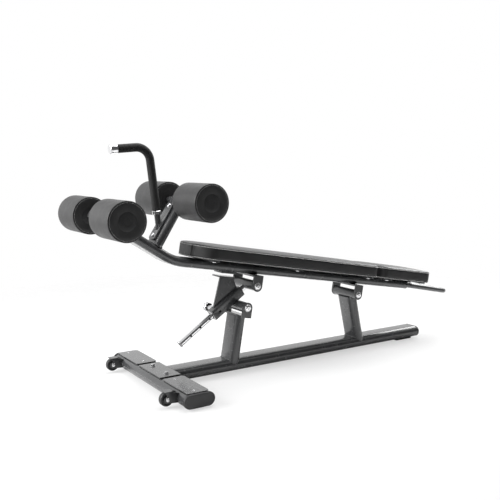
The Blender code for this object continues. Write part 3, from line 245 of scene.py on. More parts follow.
# A bolt head is given as its radius and height, then its socket's radius and depth.
TREAD_SCREW_HEAD = (0.0042, 0.0012, 0.0020, 0.0009)
# A washer is given as its radius and thickness, then how far its edge is turned in and down.
SADDLE_WASHER = (0.0115, 0.0014, 0.0003, 0.0005)


def rounded_rectangle(length, width, corner, steps=5):
    """The outline of a rectangle with rounded corners, around its middle."""
    x, y = length / 2 - corner, width / 2 - corner
    outline = []
    for middle, start in (((x, y), 0), ((-x, y), 90), ((-x, -y), 180), ((x, -y), 270)):
        for i in range(steps + 1):
            turn = math.radians(start + 90 * i / steps)
            outline.append((middle[0] + corner * math.cos(turn),
                            middle[1] + corner * math.sin(turn)))
    return outline


def hexagon(reach, turn=0):
    """The outline of a hexagon, which reaches this far to its corners."""
    return [(reach * math.cos(math.radians(60 * i + turn)),
             reach * math.sin(math.radians(60 * i + turn))) for i in range(6)]


def circle(radius, steps=32):
    """The outline of a round bar."""
    turns = [2 * math.pi * i / steps for i in range(steps)]
    return [(radius * math.cos(a), radius * math.sin(a)) for a in turns]


def turned(name, profile, steps=40, crease=32, ends=True):
    """A turned piece about its own Z axis, from (radius, height) points."""
    rings = [[(x, y, height) for x, y in circle(radius, steps)] for radius, height in profile]
    return skin(name, rings, ends, crease)


def washer(name, radius, thickness, turned_in, turned_down, steps=40):
    """A washer with a turned edge, its seat at its own origin."""
    return turned(name, [(0, thickness), (radius - turned_in, thickness),
                         (radius, thickness - turned_down), (radius, 0), (0, 0)], steps)


def bright_metal(name, colour, roughness):
    """Plated or polished steel, with faint drawing lines and finger marks."""
    finish = new_finish(name, colour, roughness, 1.0)
    smear = grain(finish, "ShaderNodeTexNoise", 45.0, Detail=3.0)
    polish(finish, smear.outputs["Fac"], roughness * 0.7, roughness * 1.5)
    lines = grain(finish, "ShaderNodeTexNoise", 300.0, (1, 1, 0.05), Detail=2.0)
    relief(finish, lines.outputs["Fac"], 0.00002, 0.35)
    return finish


def socket_head(name, radius, height, socket, depth, steps=36):
    """A domed bolt head with a hexagon socket, its seat at its own origin."""
    dome = ((0.999, 0.0), (1.0, 0.10), (1.0, 0.30), (0.95, 0.55), (0.84, 0.78), (0.66, 0.95),
            (0.54, 1.0))
    rings = [[(x, y, height * level) for x, y in circle(radius * share, steps)]
             for share, level in dome]
    for size, level in ((socket * 1.08, height), (socket, height - depth * 0.15),
                        (socket, height - depth), (0.0, height - depth * 1.1)):
        ring = []
        for i in range(steps):
            turn = 2 * math.pi * i / steps
            off = (turn + math.pi / 6) % (math.pi / 3) - math.pi / 6
            reach = size * math.cos(math.pi / 6) / math.cos(off)
            ring.append((reach * math.cos(turn), reach * math.sin(turn), level))
        rings.append(ring)
    return skin(name, rings)


TREAD_COAT = powder_coat("tread_powder_coat", (0.070, 0.071, 0.073), 0.28)
# Near-black coat for the lower band of each plate: painted shade on its edge, not a colour of
# the steel.
PLATE_EDGE_SHADE = powder_coat("painted_edge_shade", (0.012, 0.012, 0.012), 0.6)
ZINC = bright_metal("zinc_plate", (0.70, 0.70, 0.71), 0.24)
DULL_ZINC = bright_metal("dull_zinc", (0.42, 0.42, 0.425), 0.32)

for node, corner in (("saddle_plate", 0.003), ("tread_plate_left", 0.012),
                     ("tread_plate_right", 0.012)):
    middle, size = measure(node)
    coated = size.z * COATED_SHARE
    shade_band = size.z - coated
    plate = bar(f"{node}_top", rounded_rectangle(size.x, size.y, corner), coated)
    fit(soften(plate, 0.0009), TREAD_COAT, "base", [node],
        at(middle.x, middle.y, middle.z + shade_band / 2))
    # Under the coated top sits a slightly smaller near-black band: painted shade on the plate's
    # edge.
    edge = bar(f"{node}_edge", rounded_rectangle(
        size.x - 2 * SHADE_BAND_INSET, size.y - 2 * SHADE_BAND_INSET, corner), shade_band)
    fit(edge, PLATE_EDGE_SHADE, "base",
        place=at(middle.x, middle.y, middle.z - coated / 2))
    if node == "saddle_plate":
        plate_top = middle.z + size.z / 2
        continue
    side = 1 if middle.y > 0 else -1
    inner = middle.y - side * size.y / 2
    for number, reach in enumerate(TREAD_SCREWS, 1):
        screw = socket_head(f"{node}_screw_{number}", *TREAD_SCREW_HEAD)
        fit(screw, ZINC, "base",
            place=at(middle.x - TREAD_SCREWS_FORWARD, inner + side * reach, plate_top))

for side in SIDES:
    middle = measure(f"saddle_bolt_{side}")[0]
    place = at(middle.x, middle.y, plate_top)
    fit(washer(f"saddle_washer_{side}", *SADDLE_WASHER), DULL_ZINC, "base",
        place=place)
    head = skin(f"saddle_bolt_head_{side}", [
        [(x, y, level) for x, y in hexagon(SADDLE_BOLT_REACH * share, 15)]
        for share, level in ((1, 0.0012), (1, 0.0066), (0.86, 0.0078))])
    fit(soften(head, 0.0005), DULL_ZINC, "base", [f"saddle_bolt_{side}"], place)


# Foot end caps and pads: moulded black plastic plugs pushed into the ends of the foot, and
# rubber blocks screwed under it, which stand on the floor.

CAP_THICKNESS = 0.012
CAP_ROUND = 0.004
CAP_STEP = 0.003


def moulded_black(name, colour, roughness, texture=1200.0):
    """Moulded plastic with a fine spark-eroded texture."""
    finish = new_finish(name, colour, roughness)
    cloud = grain(finish, "ShaderNodeTexNoise", 30.0, Detail=3.0)
    polish(finish, cloud.outputs["Fac"], roughness - 0.06, roughness + 0.08)
    pits = grain(finish, "ShaderNodeTexVoronoi", texture)
    relief(finish, pits.outputs["Distance"], 0.00010, 0.5)
    return finish


def end_cap(name, width, height, thickness, rounding):
    """A cap with a rounded rim and a shallow sunk panel, its inner face at its origin."""
    levels = [(0.0, 0.0)]
    for i in range(7):
        turn = math.pi / 2 * i / 6
        levels.append((rounding * (1 - math.cos(turn)),
                       thickness - rounding * (1 - math.sin(turn))))
    levels += [(rounding + 0.0030, thickness), (rounding + 0.0036, thickness - 0.0007)]
    rings = []
    for inset, level in levels:
        rings.append([(x, y, level) for x, y in
                      flat_oval(width - 2 * inset, height - 2 * inset, 18)])
    return skin(name, rings)


def rubber_block(name, length, width, height):
    """A rubber foot that narrows a little towards the floor."""
    rings = []
    for share, level in ((1.0, height), (1.0, height * 0.55), (0.97, height * 0.45),
                         (0.97, 0.0012), (0.955, 0.0)):
        rings.append([(x, y, level) for x, y in
                      rounded_rectangle(length * share, width * share, 0.004, 4)])
    return skin(name, rings)


BLACK_PLASTIC = moulded_black("moulded_plastic", (0.021, 0.021, 0.022), 0.46)
BLACK_RUBBER = moulded_black("black_rubber", (0.007, 0.007, 0.007), 0.75, 700.0)

for side, sign in SIDES.items():
    middle, size = measure(f"foot_end_cap_{side}")
    cap = end_cap(f"foot_cap_{side}", size.x, size.z - CAP_STEP, CAP_THICKNESS, CAP_ROUND)
    outer = middle.y + sign * size.y / 2
    fit(cap, BLACK_PLASTIC, "base", [f"foot_end_cap_{side}"],
        at(middle.x, outer - sign * CAP_THICKNESS, middle.z - CAP_STEP / 2) @ outward(sign))
    middle, size = measure(f"foot_pad_{side}")
    block = rubber_block(f"foot_rubber_{side}", size.x, size.y, size.z)
    fit(block, BLACK_RUBBER, "base", [f"foot_pad_{side}"],
        at(middle.x, middle.y, 0))


# Transport wheels: solid black plastic wheels that turn on a bolt in a steel fork, which is
# welded to the front of the foot. They touch the floor when the rear end is lifted.

WHEEL_RADIUS = 0.0255
WHEEL_WIDTH = 0.020
WHEEL_BORE = 0.0049
WHEEL_DISH = 0.0035
TYRE_DEPTH = 0.0065
FORK_CHEEK = 0.004
FORK_GAP = 0.0015
FORK_RADIUS = 0.0135
FORK_HEIGHT = 0.030
FORK_LID_START = -0.012
FORK_LID_LENGTH = 0.032
FORK_LID_HEIGHT = 0.0275
WHEEL_BOLT_HEAD = (0.0072, 0.0030, 0.0032, 0.0020)


def one_piece(name, shapes):
    """Several shapes that are welded or moulded as one piece."""
    bpy.context.view_layer.update()
    joined = bmesh.new()
    for shape in shapes:
        mesh = shape.data.copy()
        mesh.transform(shape.matrix_world)
        joined.from_mesh(mesh)
        bpy.data.objects.remove(shape)
        bpy.data.meshes.remove(mesh)
    mesh = bpy.data.meshes.new(name)
    joined.to_mesh(mesh)
    joined.free()
    return into_scene(name, mesh)


def mirrored(face, middle=()):
    """A turned section from one face to the other, from the points of one face."""
    return [*face, *middle, *((radius, -level) for radius, level in reversed(face))]


FORK_COAT = powder_coat("fork_powder_coat", (0.024, 0.0245, 0.0255), 0.30)
half = WHEEL_WIDTH / 2
rim = WHEEL_RADIUS - TYRE_DEPTH
wheel_section = mirrored([
    (WHEEL_BORE, half), (0.0095, half), (0.0105, half - WHEEL_DISH),
    (rim - 0.001, half - WHEEL_DISH), (rim, half - 0.0006), (WHEEL_RADIUS - 0.003, half),
    (WHEEL_RADIUS - 0.0009, half - 0.0009), (WHEEL_RADIUS, half - 0.003)])
fork_half = half + FORK_GAP + FORK_CHEEK

for side in SIDES:
    hub = measure(f"wheel_{side}")[0]
    wheel = turned(f"transport_wheel_{side}", wheel_section + [(WHEEL_BORE, half)], 56)
    fit(wheel, BLACK_PLASTIC, f"wheel_{side}", [f"wheel_{side}"],
        at(*hub) @ ACROSS)

    reach = foot_middle.x - foot_size.x / 2 + foot_size.z / 2 - hub.x
    low = foot_middle.z - hub.z - FORK_HEIGHT / 2
    nose = [(FORK_RADIUS * math.cos(math.radians(a)), FORK_RADIUS * math.sin(math.radians(a)))
            for a in range(90, 271, 12)]
    cheek_outline = [(x, y) for x, y in nose if y < FORK_RADIUS * 0.8 or x > 0]
    cheek_outline += [(reach, low), (reach, low + FORK_HEIGHT),
                      (FORK_LID_START + FORK_LID_LENGTH, FORK_LID_HEIGHT - 0.001),
                      (FORK_LID_START + 0.002, FORK_LID_HEIGHT - 0.001)]
    shapes = []
    for cheek_side in (-1, 1):
        cheek = bar(f"fork_cheek_{side}_{cheek_side}", cheek_outline, FORK_CHEEK)
        cheek.matrix_world = at(hub.x, hub.y + cheek_side * (fork_half - FORK_CHEEK / 2),
                                hub.z) @ ACROSS
        shapes.append(cheek)
    front = WHEEL_RADIUS + FORK_GAP
    bridge = bar(f"fork_bridge_{side}",
                 rounded_rectangle(reach - front, FORK_HEIGHT - 0.005, 0.001, 2),
                 WHEEL_WIDTH + 2 * FORK_GAP + 0.004)
    bridge.matrix_world = at(hub.x + (front + reach) / 2, hub.y, foot_middle.z) @ ACROSS
    lid = bar(f"fork_lid_{side}",
              rounded_rectangle(FORK_LID_LENGTH, 2 * fork_half, 0.002, 3), 0.003)
    lid.matrix_world = at(hub.x + FORK_LID_START + FORK_LID_LENGTH / 2, hub.y,
                          hub.z + FORK_LID_HEIGHT)
    fork = one_piece(f"wheel_fork_{side}", shapes + [bridge, lid])
    fit(soften(fork, 0.0006, 2), FORK_COAT, "base", [f"wheel_bracket_{side}"])
    for end, facing in (("a", 1), ("b", -1)):
        head = socket_head(f"wheel_bolt_{side}_{end}", *WHEEL_BOLT_HEAD)
        fit(head, ZINC, "base",
            place=at(hub.x, hub.y + facing * fork_half, hub.z) @ outward(facing))


# Base rail: a flat-oval tube that runs back over the middle of the foot and lies close to
# the floor. A plug closes its rear end, and a rubber block under it stands on the floor.

RAIL_HEIGHT = 0.050
RAIL_FLOOR = 0.0103
RAIL_TOP = RAIL_FLOOR + RAIL_HEIGHT
RAIL_CAP_THICKNESS = 0.014
RAIL_CAP_ROUND = 0.006
# Lays a piece's own Z axis along the bench, towards its rear, and its X axis across it.
ALONG = Matrix(((0, 0, 1, 0), (1, 0, 0, 0), (0, 1, 0, 0), (0, 0, 0, 1)))

rail_middle, rail_size = measure("base_rail")
cap_middle, cap_size = measure("rail_end_cap")
rail_z = RAIL_FLOOR + RAIL_HEIGHT / 2
rail_back = cap_middle.x + cap_size.x / 2 - RAIL_CAP_THICKNESS
rail_front = rail_middle.x - rail_size.x / 2
rail = bar("rail_tube", flat_oval(rail_size.y, RAIL_HEIGHT, 20), rail_back - rail_front)
fit(soften(rail, 0.0008), ANTHRACITE, "base", ["base_rail"],
    at((rail_front + rail_back) / 2, 0, rail_z) @ ALONG)

rail_cap = end_cap("rail_cap", rail_size.y, RAIL_HEIGHT, RAIL_CAP_THICKNESS, RAIL_CAP_ROUND)
fit(rail_cap, BLACK_PLASTIC, "base", ["rail_end_cap"],
    at(rail_back, 0, rail_z) @ ALONG)

middle, size = measure("rear_foot_pad")
block = rubber_block("rear_rubber", size.x, size.y, size.z)
fit(block, BLACK_RUBBER, "base", ["rear_foot_pad"], at(middle.x, middle.y, 0))


# Posts: two flat-oval tubes that stand on the rail, each welded to it all round. The front
# one leans back under the strut bracket, the rear one forward under the tilt hinge.

POST_WIDTH = 0.100
POST_DEPTH = 0.050
POST_ROOT = 0.030
POST_WELD = 0.0022
FRONT_POST_FOOT = -0.3314284
REAR_POST_FOOT = 0.3480716
REAR_POST_BELOW = 0.012
EAR_REACH = 0.041


def weld(name, path, radius, body, place=None, closed=True):
    """Lays a weld bead along a path of points, with the ripples of its scales."""
    count = len(path)
    rings = []
    for i in range(count):
        ahead = path[(i + 1) % count] if closed or i + 1 < count else path[i]
        behind = path[i - 1] if closed or i > 0 else path[i]
        along = (Vector(ahead) - Vector(behind)).normalized()
        upright = Vector((1, 0, 0)) if abs(along.z) > 0.95 else Vector((0, 0, 1))
        aside = along.cross(upright).normalized()
        above = aside.cross(along)
        swell = radius * (1 + 0.14 * math.sin(i * 2.1))
        turns = (2 * math.pi * k / 8 for k in range(8))
        rings.append([Vector(path[i]) + swell * (aside * math.cos(t) + above * math.sin(t))
                      for t in turns])
    bead = skin(name, rings, ends=not closed, crease=70)
    # The bead's lighter grey is a painted highlight.
    fit(bead, WELD_HIGHLIGHT_COAT, body, place=place)


def post_lean(x, hinge):
    """The angle at which a post leans back from its foot on the rail to its hinge."""
    return math.atan2(hinge.x - x, hinge.z - RAIL_TOP)


def post_tube(name, length, lean):
    """A flat-oval post that hangs down from its own origin, with its foot cut level."""
    outline = [(y, x) for x, y in flat_oval(POST_WIDTH, POST_DEPTH, 20)]
    foot = [(x, y, x * math.tan(lean) - length) for x, y in outline]
    return skin(name, [foot, [(x, y, 0) for x, y in outline]])


def post_foot(x, lean):
    """The line around the foot of a post, over the rounded sides of the rail."""
    flat = rail_size.y / 2 - RAIL_HEIGHT / 2
    path = []
    for across, deep in flat_oval(POST_WIDTH, POST_DEPTH, 40):
        over = min(max(abs(across) - flat, 0), RAIL_HEIGHT / 2)
        drop = RAIL_HEIGHT / 2 - math.sqrt((RAIL_HEIGHT / 2) ** 2 - over ** 2)
        path.append((x + deep / math.cos(lean) - drop * math.tan(lean), across * 1.004,
                     RAIL_TOP - drop * 0.98 + 0.0006))
    return path


# The weld beads get a lighter grey than the frame's coat. This is a painted highlight along each
# bead, not a different paint.
WELD_HIGHLIGHT_COAT = powder_coat("weld_coat_painted_highlight", (0.068, 0.069, 0.071), 0.26)

joints = {joint["name"]: joint for joint in frame["joints"]}
strut_hinge = Vector(joints["sleeve_swing"]["pos_m"])
tilt_hinge = Vector(joints["bench_tilt"]["pos_m"])
adjuster_hinge = Vector(joints["tube_slide"]["pos_m"])
for name, x, hinge, below in (("front", FRONT_POST_FOOT, strut_hinge, EAR_REACH),
                              ("rear", REAR_POST_FOOT, tilt_hinge, REAR_POST_BELOW)):
    lean = post_lean(x, hinge)
    length = math.hypot(hinge.x - x, hinge.z - RAIL_TOP) - below
    place = at(x, 0, RAIL_TOP) @ Matrix.Rotation(lean, 4, "Y")
    post = post_tube(f"{name}_post_tube", length + POST_ROOT, lean)
    fit(soften(post, 0.0008), ANTHRACITE, "base", [f"{name}_post"],
        place @ at(0, 0, length))
    weld(f"{name}_post_weld", post_foot(x, lean), POST_WELD, "base")


# Hinges: a pair of ears carries each of the three, and a steel tube turns between them on a
# bolt, with a domed, socketed head and a washer at each end.

EAR_THICKNESS = 0.008
EAR_INNER = 0.073
EAR_RADIUS = 0.0225
EAR_BASE = 0.008
HINGE_BOLT_HEAD = (0.013, 0.0055, 0.0046, 0.0032)
HINGE_WASHER = (0.015, 0.0010, 0.0004, 0.0004)
HINGE_RADIUS = 0.0215
HINGE_HALF = 0.0725
BOLT_RADIUS = 0.006
BENCH_SLOPE = math.radians(9.55)
BENCH_EAR_REACH = 0.0447


def ear_pair(name, reach):
    """Two ears with round ends under a base plate, and the hinge's line at their origin."""
    outline = [(EAR_RADIUS * math.cos(math.radians(a)), EAR_RADIUS * math.sin(math.radians(a)))
               for a in range(0, 181, 9)]
    outline += [(-EAR_RADIUS, -reach), (EAR_RADIUS, -reach)]
    shapes = []
    for side in (-1, 1):
        ear = bar(f"{name}_ear_{side}", outline, EAR_THICKNESS)
        y = side * (EAR_INNER + EAR_THICKNESS / 2)
        ear.matrix_world = at(0, y, 0) @ ACROSS
        shapes.append(ear)
    base = bar(f"{name}_base",
               rounded_rectangle(2 * EAR_RADIUS, 2 * EAR_INNER + 0.002, 0.001, 2), EAR_BASE)
    base.matrix_world = at(0, 0, EAR_BASE / 2 - reach)
    return soften(one_piece(name, shapes + [base]), 0.0011)


def hinge_tube(name):
    """The hinge's tube, with the lip of a plain bearing at each end."""
    return turned(name, mirrored([
        (BOLT_RADIUS + 0.001, HINGE_HALF - 0.0025),
        (HINGE_RADIUS - 0.0045, HINGE_HALF - 0.0025), (HINGE_RADIUS - 0.0040, HINGE_HALF),
        (HINGE_RADIUS - 0.0007, HINGE_HALF), (HINGE_RADIUS, HINGE_HALF - 0.0007)]), 64)


def hinge_bolt(name, hinge, body, nodes):
    """The two heads of a hinge's bolt, outside the ears, with washers under them."""
    for end, side in SIDES.items():
        seat = at(hinge.x, side * (EAR_INNER + EAR_THICKNESS), hinge.z) @ outward(side)
        head = socket_head(f"{name}_head_{end}", *HINGE_BOLT_HEAD, steps=48)
        fit(head, CHROME, body, nodes.get(end, ()), seat)
        fit(washer(f"{name}_washer_{end}", *HINGE_WASHER, steps=48), ZINC, body,
            place=seat)


CHROME = bright_metal("chrome", (0.84, 0.84, 0.85), 0.11)

strut_ears = ear_pair("strut_ears", EAR_REACH)
fit(strut_ears, ANTHRACITE, "base", ["strut_bracket"], at(*strut_hinge)
    @ Matrix.Rotation(post_lean(FRONT_POST_FOOT, strut_hinge), 4, "Y"))
fit(hinge_tube("strut_hinge_tube"), ANTHRACITE, "sleeve",
    ["sleeve_pivot_tube"], at(*strut_hinge) @ ACROSS)
hinge_bolt("strut_bolt", strut_hinge, "base", {"left": ["strut_pivot_bolt"]})

tilt = at(*tilt_hinge) @ Matrix.Rotation(BENCH_SLOPE, 4, "Y")
FLIP = Matrix.Rotation(math.pi, 4, "X")
for name, hinge in (("tilt", tilt_hinge), ("adjuster", adjuster_hinge)):
    ears = ear_pair(f"{name}_ears", BENCH_EAR_REACH)
    fit(ears, ANTHRACITE, "bench", [f"{name}_bracket"],
        at(*hinge) @ Matrix.Rotation(BENCH_SLOPE, 4, "Y") @ FLIP)
fit(hinge_tube("tilt_hinge_tube"), ANTHRACITE, "base", ["tilt_pivot_tube"],
    at(*tilt_hinge) @ ACROSS)
hinge_bolt("tilt_bolt", tilt_hinge, "bench", {"left": ["tilt_pivot_bolt"]})
fit(hinge_tube("adjuster_hinge_tube"), ANTHRACITE, "adjusting_tube",
    ["adjusting_tube_head"], at(*adjuster_hinge) @ ACROSS)
hinge_bolt("adjuster_bolt", adjuster_hinge, "bench",
           {"left": ["adjuster_screw_left"], "right": ["adjuster_screw_right"]})


# Adjusting sleeve: a square tube that swings on the front post. A web welded along its top
# carries a flange, over which the frame's stop plate hangs.

SLEEVE_ANGLE = math.radians(34)
SLEEVE_SIZE = 0.043
SLEEVE_CORNER = 0.0075
SLEEVE_TOP = 0.042
SLEEVE_BOTTOM = 0.205
PIN_PLACE = 0.172
PIN_HOLE = 0.0046
PIVOT_REACH = 0.555
PROP_RADIUS = 0.0125
STOP_LOW = 0.0367
STOP_FRONT = -0.7045
STOP_LENGTH = 0.074
STOP_WIDTH = 0.060
STOP_THICKNESS = 0.008
FLANGE_MARGIN = 0.006
FLANGE_TOP = STOP_LOW - 0.012
FLANGE_THICKNESS = 0.006
WEB_THICKNESS = 0.008
WEB_SPAN = (0.050, 0.184)
WEB_WELD = 0.0017

sleeve_line = at(*adjuster_hinge) @ Matrix.Rotation(-SLEEVE_ANGLE, 4, "Y")


def holed(piece, cutter):
    """Cuts a shape out of a piece for good."""
    cut = piece.modifiers.new("cut", "BOOLEAN")
    cut.object = cutter
    cut.solver = "EXACT"
    bpy.context.view_layer.update()
    solid = piece.evaluated_get(bpy.context.evaluated_depsgraph_get())
    mesh = bpy.data.meshes.new_from_object(solid)
    piece.modifiers.clear()
    piece.data = mesh
    bpy.data.objects.remove(cutter)
    return piece


def rod(name, radius, length, steps=32):
    """A round bar around its middle, along its own Z axis."""
    return turned(name, [(radius, length / 2), (radius, -length / 2)], steps)


REARWARD = Matrix.Rotation(math.pi / 2, 4, "Y")
sleeve_middle = (SLEEVE_TOP + SLEEVE_BOTTOM) / 2
sleeve = bar("sleeve_tube", rounded_rectangle(SLEEVE_SIZE, SLEEVE_SIZE, SLEEVE_CORNER, 8),
             SLEEVE_BOTTOM - SLEEVE_TOP)
sleeve = holed(sleeve, rod("sleeve_bore", PROP_RADIUS + 0.0008, 0.3, 48))
pin_bore = rod("pin_bore", PIN_HOLE, 0.1, 28)
pin_bore.matrix_world = at(0, 0, sleeve_middle - PIN_PLACE) @ REARWARD
sleeve = holed(sleeve, pin_bore)
fit(soften(sleeve, 0.0006, 2), ANTHRACITE, "sleeve", ["adjusting_sleeve"],
    sleeve_line @ at(-sleeve_middle, 0, 0) @ ALONG)

turn = BENCH_SLOPE + SLEEVE_ANGLE
start, end = STOP_FRONT - FLANGE_MARGIN, STOP_FRONT + STOP_LENGTH + FLANGE_MARGIN
flange = bar("stop_flange", rounded_rectangle(end - start, STOP_WIDTH, 0.002, 3),
             FLANGE_THICKNESS)
flange.matrix_world = at((start + end) / 2, 0, FLANGE_TOP - FLANGE_THICKNESS / 2)
corners = []
for along in reversed(WEB_SPAN):
    up = SLEEVE_SIZE / 2 - 0.0005
    corners.append((-PIVOT_REACH - along * math.cos(turn) - up * math.sin(turn),
                    -along * math.sin(turn) + up * math.cos(turn)))
under = FLANGE_TOP - FLANGE_THICKNESS / 2
corners += [(end - FLANGE_MARGIN, under), (start + 0.020, under)]
web = bar("stop_web", corners, WEB_THICKNESS)
web.matrix_world = ACROSS
bracket = one_piece("stop_bracket_welded", [flange, web])
fit(soften(bracket, 0.0007, 2), ANTHRACITE, "sleeve", ["stop_bracket"], tilt)
for side, sign in reversed(SIDES.items()):
    foot = [sleeve_line @ Vector((-WEB_SPAN[0] - (WEB_SPAN[1] - WEB_SPAN[0]) * i / 50,
                                  sign * (WEB_THICKNESS / 2 + 0.0008),
                                  SLEEVE_SIZE / 2 + 0.0008)) for i in range(51)]
    weld(f"web_weld_{side}", foot, WEB_WELD, "sleeve", closed=False)

stop = bar("stop_plate_cut", rounded_rectangle(STOP_LENGTH, STOP_WIDTH, 0.002, 3),
           STOP_THICKNESS)
fit(soften(stop, 0.0008), ANTHRACITE, "bench", ["stop_plate"],
    tilt @ at(STOP_FRONT + STOP_LENGTH / 2, 0, STOP_LOW + STOP_THICKNESS / 2))


# Prop: a chromed tube that hangs from the frame and slides in the sleeve. Four holes take
# the pop pin, one for each height of the bench.

PIN_STEP = 0.052
PROP_END = 0.380
PROP_WALL = 0.0025
GUIDE_RADIUS = 0.0175
# A darker copy of the chrome, for the knob and the prop's plug: painted shade for the dark
# things that they reflect.
SHADED_KNOB_CHROME = bright_metal("chrome_with_painted_shade", (0.56, 0.56, 0.57), 0.14)

prop = rod("prop_tube", PROP_RADIUS, PROP_END - HINGE_RADIUS, 64)
prop = holed(prop, rod("prop_inside", PROP_RADIUS - PROP_WALL, 0.6, 40))
prop_middle = (PROP_END + HINGE_RADIUS) / 2
for i in range(4):
    hole = rod(f"prop_hole_{i}", PIN_HOLE, 0.08, 28)
    hole.matrix_world = at(0, 0, prop_middle - PIN_PLACE - PIN_STEP * i) @ REARWARD
    prop = holed(prop, hole)
prop.data.shade_smooth()
prop.data.set_sharp_from_angle(angle=math.radians(35))
fit(prop, CHROME, "adjusting_tube", ["adjusting_tube"],
    sleeve_line @ at(-prop_middle, 0, 0) @ ALONG)
plug = turned("prop_plug", [
    (0, -0.0042), (0.0095, -0.0041), (0.0128, -0.0031), (0.0141, -0.0012), (0.0141, 0.0004),
    (0.0130, 0.0014), (PROP_RADIUS - PROP_WALL - 0.0002, 0.0014),
    (PROP_RADIUS - PROP_WALL - 0.0002, 0.012), (0, 0.012)], 48)
fit(plug, SHADED_KNOB_CHROME, "adjusting_tube",
    place=sleeve_line @ at(-PROP_END, 0, 0) @ ALONG)
guide = turned("prop_guide", [
    (PROP_RADIUS + 0.0005, 0.0030), (GUIDE_RADIUS - 0.001, 0.0030), (GUIDE_RADIUS, 0.0020),
    (GUIDE_RADIUS, -0.004), (PROP_RADIUS + 0.0005, -0.004),
    (PROP_RADIUS + 0.0005, 0.0030)], 48)
fit(guide, BLACK_PLASTIC, "sleeve",
    place=sleeve_line @ at(-SLEEVE_TOP, 0, 0) @ ALONG)


# Pop pin: a spring-loaded steel pin in a barrel screwed into the sleeve's left side, with a
# chromed pull knob that is waisted for the fingers.

BARREL_RADIUS = 0.0110
BARREL_NECK = 0.0102
JAM_NUT_REACH = 0.0150
KNOB_GAP = 0.0006
KNOB_FLUTES = 8
FLUTED_FROM = 0.0165
FLUTE_DEPTH = 0.10
SHANK_RADIUS = 0.0040

barrel_middle, barrel_size = measure("pop_pin_barrel")
pin_middle, pin_size = measure("pop_pin")
barrel_half = barrel_size.y / 2
barrel = turned("pin_barrel", [
    (PIN_HOLE, barrel_half), (0.0095, barrel_half), (BARREL_RADIUS, barrel_half - 0.0015),
    (BARREL_RADIUS, barrel_half - 0.012), (BARREL_NECK, barrel_half - 0.013),
    (BARREL_NECK, -barrel_half + 0.011), (BARREL_RADIUS, -barrel_half + 0.010),
    (BARREL_RADIUS, -barrel_half), (PIN_HOLE, -barrel_half)], 48)
fit(barrel, ZINC, "sleeve", ["pop_pin_barrel"], at(*barrel_middle) @ outward(1))
jam_nut = skin("pin_jam_nut", [
    [(x, y, level) for x, y in hexagon(JAM_NUT_REACH * share)]
    for share, level in ((0.93, 0), (1, 0.0012), (1, 0.0058), (0.93, 0.007))])
fit(soften(jam_nut, 0.0005, 2), ZINC, "sleeve",
    place=at(barrel_middle.x, barrel_middle.y - barrel_half, barrel_middle.z)
    @ sleeve_line.to_3x3().to_4x4() @ outward(1))
knob_end = pin_middle.y + pin_size.y / 2
knob_start = barrel_middle.y + barrel_half + KNOB_GAP
nose = pin_middle.y - pin_size.y / 2
knob_place = at(barrel_middle.x, knob_start, barrel_middle.z) @ outward(1)
knob_profile = [(0, 0.0012), (0.0090, 0.0012), (0.0094, 0.0016), (0.0096, 0.0056),
                (0.0152, 0.0056), (0.0156, 0.0010), (0.0163, 0.0003), (0.0180, 0.0008),
                (0.0194, 0.0030), (0.0200, 0.0064), (0.0194, 0.0098), (0.0172, 0.0120),
                (0.0170, 0.0145), (0.0188, 0.0165), (0.0193, 0.0188), (0.0182, 0.0215),
                (0.0155, 0.0234), (0.0130, 0.0240), (0.0118, 0.0232), (0, 0.0228)]
stretch = (knob_end - knob_start) / max(level for radius, level in knob_profile)
knob = turned("pin_knob", [(radius, level * stretch)
                           for radius, level in reversed(knob_profile)], 96)
for vertex in knob.data.vertices:
    if math.hypot(vertex.co.x, vertex.co.y) > FLUTED_FROM:
        turn = math.atan2(vertex.co.y, vertex.co.x)
        flute = 1 - FLUTE_DEPTH * abs(math.sin(KNOB_FLUTES / 2 * turn)) ** 4
        vertex.co.x *= flute
        vertex.co.y *= flute
# The knob's darker chrome is painted shade.
fit(knob, SHADED_KNOB_CHROME, "pop_pin", ["pop_pin"], knob_place)
# A thin black ring laid on the floor of the knob's groove: painted shade in the recess.
groove_shade = turned("knob_groove_painted_shade", [(0.0097, 0.0050), (0.0151, 0.0050), (0.0151, 0.0055),
                                    (0.0097, 0.0055)], 64, ends=False)
fit(groove_shade, BLACK_PLASTIC, "pop_pin", place=knob_place)
shank = turned("pin_shank", [(0, knob_start + 0.004), (SHANK_RADIUS, knob_start + 0.004),
                             (SHANK_RADIUS, nose + 0.001), (SHANK_RADIUS - 0.001, nose),
                             (0, nose)], 32)
fit(shank, CHROME, "pop_pin",
    place=at(barrel_middle.x, 0, barrel_middle.z) @ outward(1))


# Frame tube: one flat-oval tube under the pads, bent up at its front to carry the rollers,
# with black plugs in its ends. It tilts on the rear post.

TUBE_WIDTH = 0.095
TUBE_HEIGHT = 0.038
TUBE_DROP = 0.064
TUBE_REAR = 0.3436
BEND_CORNER = -0.9240
BEND_RADIUS = 0.230
INCLINE = math.radians(23)
TUBE_FRONT = 0.3585
PLUG_INSET = 0.002


def sweep(name, outline, points, side):
    """A tube along points in one plane. Its outline's first axis lies across that plane."""
    rings = []
    for i, point in enumerate(points):
        ahead, behind = points[min(i + 1, len(points) - 1)], points[max(i - 1, 0)]
        along = (Vector(ahead) - Vector(behind)).normalized()
        up = along.cross(side).normalized()
        rings.append([Vector(point) + side * x + up * y for x, y in outline])
    return skin(name, rings)


